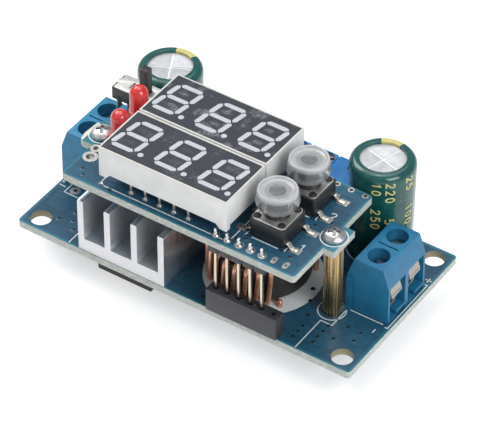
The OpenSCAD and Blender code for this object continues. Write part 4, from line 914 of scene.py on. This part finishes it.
def islands(node):  # boxes of a node's separate solids
    work = bmesh.new()
    work.from_mesh(nodes[node].data)
    bmesh.ops.remove_doubles(work, verts=work.verts, dist=1e-6)
    left, boxes = set(work.verts), []
    while left:
        heap, group = [left.pop()], []
        while heap:
            vert = heap.pop()
            group.append(vert.co / mm)
            for edge in vert.link_edges:
                other = edge.other_vert(vert)
                if other in left:
                    left.remove(other)
                    heap.append(other)
        low = Vector(min(p[k] for p in group) for k in range(3))
        high = Vector(max(p[k] for p in group) for k in range(3))
        boxes.append((low, high))
    work.free()
    return sorted(boxes, key=lambda box: tuple(round(c, 3) for c in box[0]))


def makeSolder():
    look = solderLook
    chance = random.Random(look["seed"])
    cones, pads = [], []
    for low, high in islands("solder_joints"):
        x, y = (low.x + high.x) / 2, (low.y + high.y) / 2
        radius, height = (high.x - low.x) / 2, high.z - low.z
        onUpper = abs(low.z - upperTop) < look["near"]
        if onUpper and x < look["smallTo"]:
            radius *= look["small"]
        up = onUpper or abs(low.z - mainTop) < look["near"]
        place = (x, y, low.z if up else high.z)
        over = 0.0 if up else math.pi
        swell = [1 + chance.uniform(-1, 1) * look["spread"] for k in range(3)]
        cones.append((place, (over, 0.0, chance.uniform(0, 6.28)),
                      (radius * swell[0], radius * swell[1], height * swell[2])))
        pads.append((place, (over, 0.0, 0.0), (radius + look["padOver"], radius + look["padOver"], look["padThick"])))
    scatter("solder_fillets", cones, turnedPiece("fillet", look["fillet"], 20), finish["solder"],
            ("solder_joints",), 50)
    scatter("solder_pads", pads, turnedPiece("pad", look["pad"], 28), finish["tinned_wire"])
    print("solder joints:", len(cones))


makeSolder()


# Button leads

leadLook = {"wide": 0.78, "thick": 0.2, "edge": 0.04, "pitch": 4.5,
            "path": [(-0.05, 0.80), (0.22, 0.80), (0.42, 0.75), (0.60, 0.62), (0.74, 0.42), (0.88, 0.24), (1.06, 0.14),
                     (1.3, 0.11), (1.98, 0.11)]}


def makeButtonLeads():
    path = [Vector(point) for point in leadLook["path"]]
    half = leadLook["wide"] / 2
    sections = []
    for k, here in enumerate(path):
        along = (path[min(k + 1, len(path) - 1)] - path[max(k - 1, 0)]).normalized()
        rise = Vector((-along.y, along.x)) * leadLook["thick"] / 2
        under, over = here - rise, here + rise
        sections.append([(under.x, -half, under.y), (under.x, half, under.y), (over.x, half, over.y),
                         (over.x, -half, over.y)])
    shape = Shape()
    shape.strip(sections)
    lead = soften(shape.make("lead"), leadLook["edge"], 50, "MITER_SHARP")
    rows = []
    for name in pair:
        low, high = boxOf(name + "_button_base")
        for side, turn in ((high.x, 0.0), (low.x, math.pi)):
            rows += [((side, (low.y + high.y) / 2 + row * leadLook["pitch"] / 2, upperTop), (0, 0, turn), (1, 1, 1))
                     for row in (-1, 1)]
    scatter("bent_button_leads", rows, lead, finish["tinned_wire"], ("button_leads",), 35)
    print("button leads:", len(rows))


makeButtonLeads()


# Toroid winding

windingLook = {"core": (15.2, 8.4, 6.0), "edge": 0.6, "wire": 0.78, "gap": 0.1, "turnGap": 0.06, "bare": 72,
               "tail": 1.3, "sides": 12, "corner": 0.42}


def rounded(path, radius, cuts=3):  # a path with its corners drawn as short curves
    out = [path[0]]
    for a, b, c in zip(path, path[1:], path[2:]):
        back = min(radius, (a - b).length * 0.48)
        ahead = min(radius, (c - b).length * 0.48)
        start, end = b + (a - b).normalized() * back, b + (c - b).normalized() * ahead
        for k in range(cuts + 1):
            t = k / cuts
            out.append(start * (1 - t) ** 2 + b * 2 * t * (1 - t) + end * t ** 2)
    return out + [path[-1]]


def makeWinding():
    look = windingLook
    core = middleOf("toroid_core")
    outer, bore, tall = look["core"]
    off = look["wire"] / 2 + look["gap"]
    mid, halfW, halfH = (outer + bore) / 4, (outer - bore) / 4, tall / 2
    soft = look["edge"] / 4
    turn = 2 * math.degrees(math.asin((look["wire"] + look["turnGap"]) / 2 / (mid - halfW - off)))
    count = math.floor((360 - look["bare"]) / turn)
    start = (360 - count * turn) / 2
    end = start + count * turn
    # One turn round the core: distance from its middle line, height, share of the turn
    section = [
        (halfW + off, soft - halfH, 0), (halfW + off, halfH - soft, 0.25), (halfW - soft, halfH + off, 0.28),
        (soft - halfW, halfH + off, 0.45), (-halfW - off, halfH - soft, 0.5), (-halfW - off, soft - halfH, 0.6),
        (soft - halfW, -halfH - off, 0.65), (halfW - soft, -halfH - off, 0.9)]
    outside, foot = mid + halfW + off, -look["tail"] - core.z
    rows = [(start, outside, foot)]
    rows += [(start + (i + share) * turn, mid + radius, z) for i in range(count) for radius, z, share in section]
    rows += [(end, outside, soft - halfH), (end, outside, foot)]
    path = rounded([core + Vector((*polar(angle, radius), z)) for angle, radius, z in rows], look["corner"])
    mesh = bpy.data.meshes.new("wire_path")
    mesh.from_pydata([tuple(p * mm) for p in path], [(k, k + 1) for k in range(len(path) - 1)], [])
    obj = newObject("winding", mesh)
    tree, g, inputs = newTree("winding", {"Wire radius": "Float", "Sides": "Int"})
    curve = g.add("GeometryNodeMeshToCurve", None, {"Mesh": inputs[0]})
    profile = g.add("GeometryNodeCurvePrimitiveCircle", {"mode": "RADIUS"},
                    {"Resolution": inputs[2], "Radius": inputs[1]})
    tube = g.add("GeometryNodeCurveToMesh", None, {"Curve": curve, "Profile Curve": profile, "Fill Caps": True})
    closeTree(g, tube, finish["copper_enamel"])
    grow(obj, tree, {"Wire radius": look["wire"] / 2 * mm, "Sides": look["sides"]})
    smooth(obj.data, 50)
    settle(obj, "boards", finish["copper_enamel"], ("toroid_winding",))
    print("winding turns:", count)


makeWinding()


# Lead frames inside the LEDs

ledLook = {
    "post": (0.42, 0.26), "apart": 0.62, "foot": 0.1, "tall": (2.35, 2.05), "cupAt": 0.6,
    "cup": [(0.0, 0.0), (0.3, 0.0), (0.5, 0.45), (0.45, 0.45), (0.2, 0.15), (0.0, 0.15)],
}


def makeLedFrames():
    wide, thick = ledLook["post"]
    for name in pair:
        low, high = boxOf(name + "_led")
        x, y = (low.x + high.x) / 2, (low.y + high.y) / 2
        shape = Shape()
        for side, tall in zip((-1, 1), ledLook["tall"]):
            middle = y + side * ledLook["apart"]
            corners = boxLine(x - thick / 2, middle - wide / 2, x + thick / 2, middle + wide / 2)
            shape.prism(corners, low.z + ledLook["foot"], low.z + tall)
        cupAt = (x, y - ledLook["apart"] * ledLook["cupAt"], low.z + ledLook["tall"][0])
        shape.lathe(ledLook["cup"], cupAt, 20)
        settle(shape.make(name + "_led_frame"), "boards", finish["tinned_wire"])
    print("LED frames set")


makeLedFrames()


# Print on the boards

printLook = {
    "line": 0.17, "thick": 0.012,
    "disc": (7.75, -4.2), "discSize": (0.9, 9.1),
    # drawn on both sides of the main board: under the display board, at the terminals, behind the capacitors
    "mirrored": ([(20.33, -14.9), (20.33, -8.07), (22.3, -8.07), (22.3, -3.75)],
                 [(28.9, -4.1), (29.35, -4.1), (29.35, 7.1), (28.9, 7.1)], [(21.4, -3.75), (28.4, -3.75)]),
    "padBox": (-27.75, -5.95, -25.0, -3.15), "padLine": [(-29.4, -4.85), (-28.25, -4.9)],
    "hatch": (-27.6, -3.0), "hatchTo": (-27.2, -2.35), "hatchStep": 0.36, "hatchCount": 7, "hatchLine": 0.14,
    "trimmers": (1.505, 6.355, 11.205), "trimmerHalf": 2.3, "trimmerEnds": (5.15, 14.95),
    "canRing": 5.15, "mainPostRing": 2.15, "upperPostRing": 2.05,
    "caseOver": 0.18, "caseUnder": 0.15, "buttonHalf": 3.3, "cornerLong": 1.0, "cornerShort": 0.9,
    # figures: text, place, size, turn
    "signs": (("+", (28.02, 8.75), 1.9, -90), ("-", (27.2, -5.1), 1.6, -90), ("+", (-28.5, 7.9), 1.6, 90)),
    "numberAt": (4.6, -2.0), "numberSize": 1.5,
    "pinMark": [(-0.2, 0.05), (0.75, 0.05), (-0.2, 0.95)],  # from the near corner of the near display
}
strokes = {
    "0": ([(0.3 + 0.28 * math.sin(k * math.pi / 8), 0.5 + 0.5 * math.cos(k * math.pi / 8)) for k in range(16)], True),
    "1": ([(0.12, 0.76), (0.34, 1.0), (0.34, 0.0)], False),
    "2": ([(0.03, 0.76), (0.12, 0.94), (0.3, 1.0), (0.48, 0.94), (0.56, 0.76), (0.48, 0.56), (0.0, 0.0), (0.6, 0.0)],
          False),
    "5": ([(0.54, 1.0), (0.1, 1.0), (0.05, 0.56), (0.3, 0.63), (0.52, 0.52), (0.6, 0.3), (0.5, 0.08), (0.28, 0.0),
           (0.03, 0.1)], False),
    "-": ([(0.05, 0.5), (0.6, 0.5)], False),
    "|": ([(0.325, 0.22), (0.325, 0.78)], False),
}


def mark(shape, text, at, size, turn, width, lay):  # plain figures, drawn as strokes
    along = Vector(polar(turn))
    rise = Vector((-along.y, along.x))
    for place, sign in enumerate(text):
        for part in ("-", "|") if sign == "+" else (sign,):
            line, closed = strokes[part]
            points = [Vector(at) + along * (u + place * 1.05) * size + rise * v * size for u, v in line]
            ribbon(shape, points, width, printLook["thick"], lay, closed, 0.3)


class Board:  # the print on one board, drawn flat on its top
    def __init__(self, top):
        self.shape = Shape()
        self.top = top

    def lay(self, x, y, height):
        return (x, y, self.top + height)

    def draw(self, line, closed=False, width=printLook["line"]):
        ribbon(self.shape, line, width, printLook["thick"], self.lay, closed)

    def write(self, text, at, size, turn):
        mark(self.shape, text, at, size, turn, printLook["line"], self.lay)


def makePrint():
    look = printLook
    main, upper = Board(mainTop), Board(upperTop)
    # Main board: lines of both sides, rings round the posts and cans, frames of the trimmers, the coil's disc
    for side in (-1, 1):
        for line in look["mirrored"]:
            main.draw([(side * x, y) for x, y in line])
        main.draw(circleLine(side * postX, postY, look["mainPostRing"]), True)
        upper.draw(circleLine(side * postX, postY, look["upperPostRing"]), True)
    main.shape.ring(*look["disc"], mainTop, *look["discSize"], look["thick"], 72)
    main.draw(boxLine(*look["padBox"]), True)
    for k in range(look["hatchCount"]):
        across = k * look["hatchStep"]
        main.draw([(x + across, y) for x, y in (look["hatch"], look["hatchTo"])], width=look["hatchLine"])
    main.draw(look["padLine"])
    for sign in look["signs"]:
        main.write(*sign)
    low, high = look["trimmerEnds"]
    for x in look["trimmers"]:
        main.draw(boxLine(x - look["trimmerHalf"], low, x + look["trimmerHalf"], high), True)
    for name in ("left", "right"):
        can = middleOf(name + "_capacitor_sleeve")
        main.draw(circleLine(can.x, can.y, look["canRing"]), True)
    # Display board: frames round the displays and buttons, and the buttons' numbers
    half, over, under = look["buttonHalf"], look["caseOver"], look["caseUnder"]
    for name, number in zip(pair, "12"):
        low, high = boxOf(name + "_display_case")
        upper.draw(boxLine(low.x - over, low.y + under, high.x + over, high.y - under), True)
        button = middleOf(name + "_button_base")
        for sx in (-1, 1):
            for sy in (-1, 1):
                corner = [(half - look["cornerLong"], half), (half, half), (half, half - look["cornerShort"])]
                upper.draw([(button.x + sx * x, button.y + sy * y) for x, y in corner])
        upper.draw([(button.x - half, button.y - half), (button.x + half, button.y - half)])
        x, y = look["numberAt"]
        upper.write(number, (button.x + x, button.y + y), look["numberSize"], 0)
    low = boxOf("near_display_case")[0]
    upper.shape.prism([(low.x + x, low.y + y) for x, y in look["pinMark"]], upperTop, upperTop + look["thick"])
    for node, board in (("main_board", main), ("display_board", upper)):
        settle(board.shape.make(node + "_print"), "boards", finish["print"])
    print("print lines laid")


makePrint()


# Vias and spare pads

viaLook = {
    "rim": 0.42, "hole": 0.3, "thick": 0.02, "holeThick": 0.032, "wall": 0.05, "padThick": 0.04,
    "dot": [(0.0, 0.0), (1.0, 0.0), (0.86, 1.0), (0.0, 1.0)],
    "testPad": (-26.44, -4.87), "testPadSize": (0.3, 0.85, 0.05),
    "ovalAt": (1.0, 0.1), "ovalStep": 2.0, "ovalRound": 0.42, "ovalHalf": 0.35, "ovalThick": 0.06,
    "well": [(0.0, 0.06), (0.16, 0.06), (0.16, 0.075), (0.0, 0.075)],
    "landAt": (4.55, 2.25), "landHalf": (0.95, 0.62), "landThick": 0.035,
}
mainVias = [
    (18.85, -13.15), (18.88, -11.85), (18.85, -10.5), (18.25, -8.15), (21.93, -12.55), (21.88, -11.18),
    (21.91, -9.85), (21.93, -8.45), (23.96, -10.3), (24.43, -7.06), (26.71, -9.03), (26.7, -7.11), (15.72, -2.97),
    (16.86, -5.4), (3.2, -13.4), (-21.4, -12.2), (-22.6, -10.6), (-23.4, -8.9), (-20.9, -9.6), (-24.8, -11.4)]
upperVias = [(-17.6, -14.3), (-18.5, -13.2), (17.6, -12.4), (16.9, -4.6), (17.8, 1.6), (10.2, -12.6), (-12.4, -15.0),
             (18.6, -3.0), (9.0, -13.4)]
# place, hole radius, pad radius
sparePads = [((14.59, 4.83), 0.3, 0.54), ((17.03, 4.83), 0.3, 0.54), ((19.47, 4.83), 0.3, 0.54),
             ((-19.05, -10.45), 0.7, 1.18), ((-19.5, -8.45), 0.49, 0.86)]


def makeVias():
    look = viaLook
    places = [(x, y, mainTop) for x, y in mainVias] + [(x, y, upperTop) for x, y in upperVias]
    # The holes are dark dots of painted shade, standing in for the open via holes
    for label, radius, thick, material in (("via_rims", look["rim"], look["thick"], finish["board_mask"]),
                                           ("via_holes", look["hole"], look["holeThick"], finish["hole_shade"])):
        rows = [(place, (0, 0, 0), (radius, radius, thick)) for place in places]
        scatter(label, rows, turnedPiece("dot", look["dot"], 16), material)
    spare, well = Shape(), Shape()
    deep, tall = upperLow - upperTop, look["padThick"]
    for (x, y), hole, pad in sparePads:  # a pad and the plated wall of its hole
        bore = hole - look["wall"]
        spare.lathe([(bore, deep), (hole, deep), (hole, 0.0), (pad, 0.0), (pad, tall), (bore, tall), (bore, deep)],
                    (x, y, upperTop), 36)
    spare.ring(*look["testPad"], mainTop, *look["testPadSize"], 36)
    strip, middle = boxOf("header_strip")[1].x, middleOf("header_strip").y
    for k in range(2):  # two oval pads of the header that hold no pin
        x, y = strip + look["ovalAt"][0] + look["ovalStep"] * k, middle + look["ovalAt"][1]
        oval = [(x + dx, y + dy + (look["ovalHalf"] if dy > 0 else -look["ovalHalf"]))
                for dx, dy in (polar(15 * a, look["ovalRound"]) for a in range(24))]
        spare.prism(oval, upperTop, upperTop + look["ovalThick"])
        # a dark disc of painted shade, standing in for the pad's open hole
        well.lathe(look["well"], (x, y, upperTop), 20)
    wide, long = look["landHalf"]
    for name in pair:  # lands under the button leads
        button = middleOf(name + "_button_base")
        for sx in (-1, 1):
            for sy in (-1, 1):
                x, y = button.x + sx * look["landAt"][0], button.y + sy * look["landAt"][1]
                spare.prism(boxLine(x - wide, y - long, x + wide, y + long), upperTop, upperTop + look["landThick"])
    for shape, name, material in ((spare, "spare_pads", finish["pad_tin"]), (well, "pad_holes", finish["hole_shade"])):
        obj = shape.make(name)
        smooth(obj.data, 40)
        settle(obj, "boards", material)
    print("vias:", len(places))


makeVias()


# Figures on the sleeves

sleeveMarks = {
    "size": 1.3, "line": 0.22,
    # angle round the can in degrees, how far below the top a column starts, figures
    "columns": {
        "right": ((-7, 1.1, "25"), (-7, 6.4, "100"), (-45, 1.1, "220"), (-45, 8.0, "50"), (-69, 1.1, "10"),
                  (-69, 6.2, "250")),
        "left": ((-60, 1.1, "10"), (-25, 1.1, "25"), (-60, 6.4, "250"), (-25, 6.4, "100")),
    },
}


def makeSleeveMarks():
    size = sleeveMarks["size"]
    for name, columns in sleeveMarks["columns"].items():
        low, high = boxOf(name + "_capacitor_sleeve")
        centre, radius = (low + high) / 2, (high.x - low.x) / 2

        def wrap(across, along, height):  # across is an arc length, along a height
            x, y = polar(math.degrees(across / radius), radius + height)
            return (centre.x + x, centre.y + y, along)

        shape = Shape()
        for angle, below, text in columns:
            start = (math.radians(angle) * radius - size / 2, high.z - below)
            mark(shape, text, start, size, -90, sleeveMarks["line"], wrap)
        settle(shape.make(name + "_sleeve_figures"), "boards", finish["gold"])
    print("sleeve figures set")


makeSleeveMarks()


# Floor

floorLook = {"shade": 0.55, "cloud": 0.02, "glow": 0.95, "half": 1600, "below": 0.02}


def makeFloor():
    half, z = floorLook["half"] * mm, cadBox[0][2] - floorLook["below"] * mm
    mesh = bpy.data.meshes.new("floor")
    mesh.from_pydata([(x, y, z) for x, y in boxLine(-half, -half, half, half)], [], [(0, 1, 2, 3)])
    floor = newObject("floor", mesh)
    g, place = newFinish("floor_paper")
    colour = blend(noise(place, 0.02), grey(floorLook["shade"]), grey(floorLook["shade"] + floorLook["cloud"]))
    mesh.materials.append(close(g, {
        "Base Color": colour, "Roughness": 0.9, "Specular IOR Level": 0.1, "Emission Color": colour,
        "Emission Strength": floorLook["glow"]}))
    print("floor laid")


makeFloor()
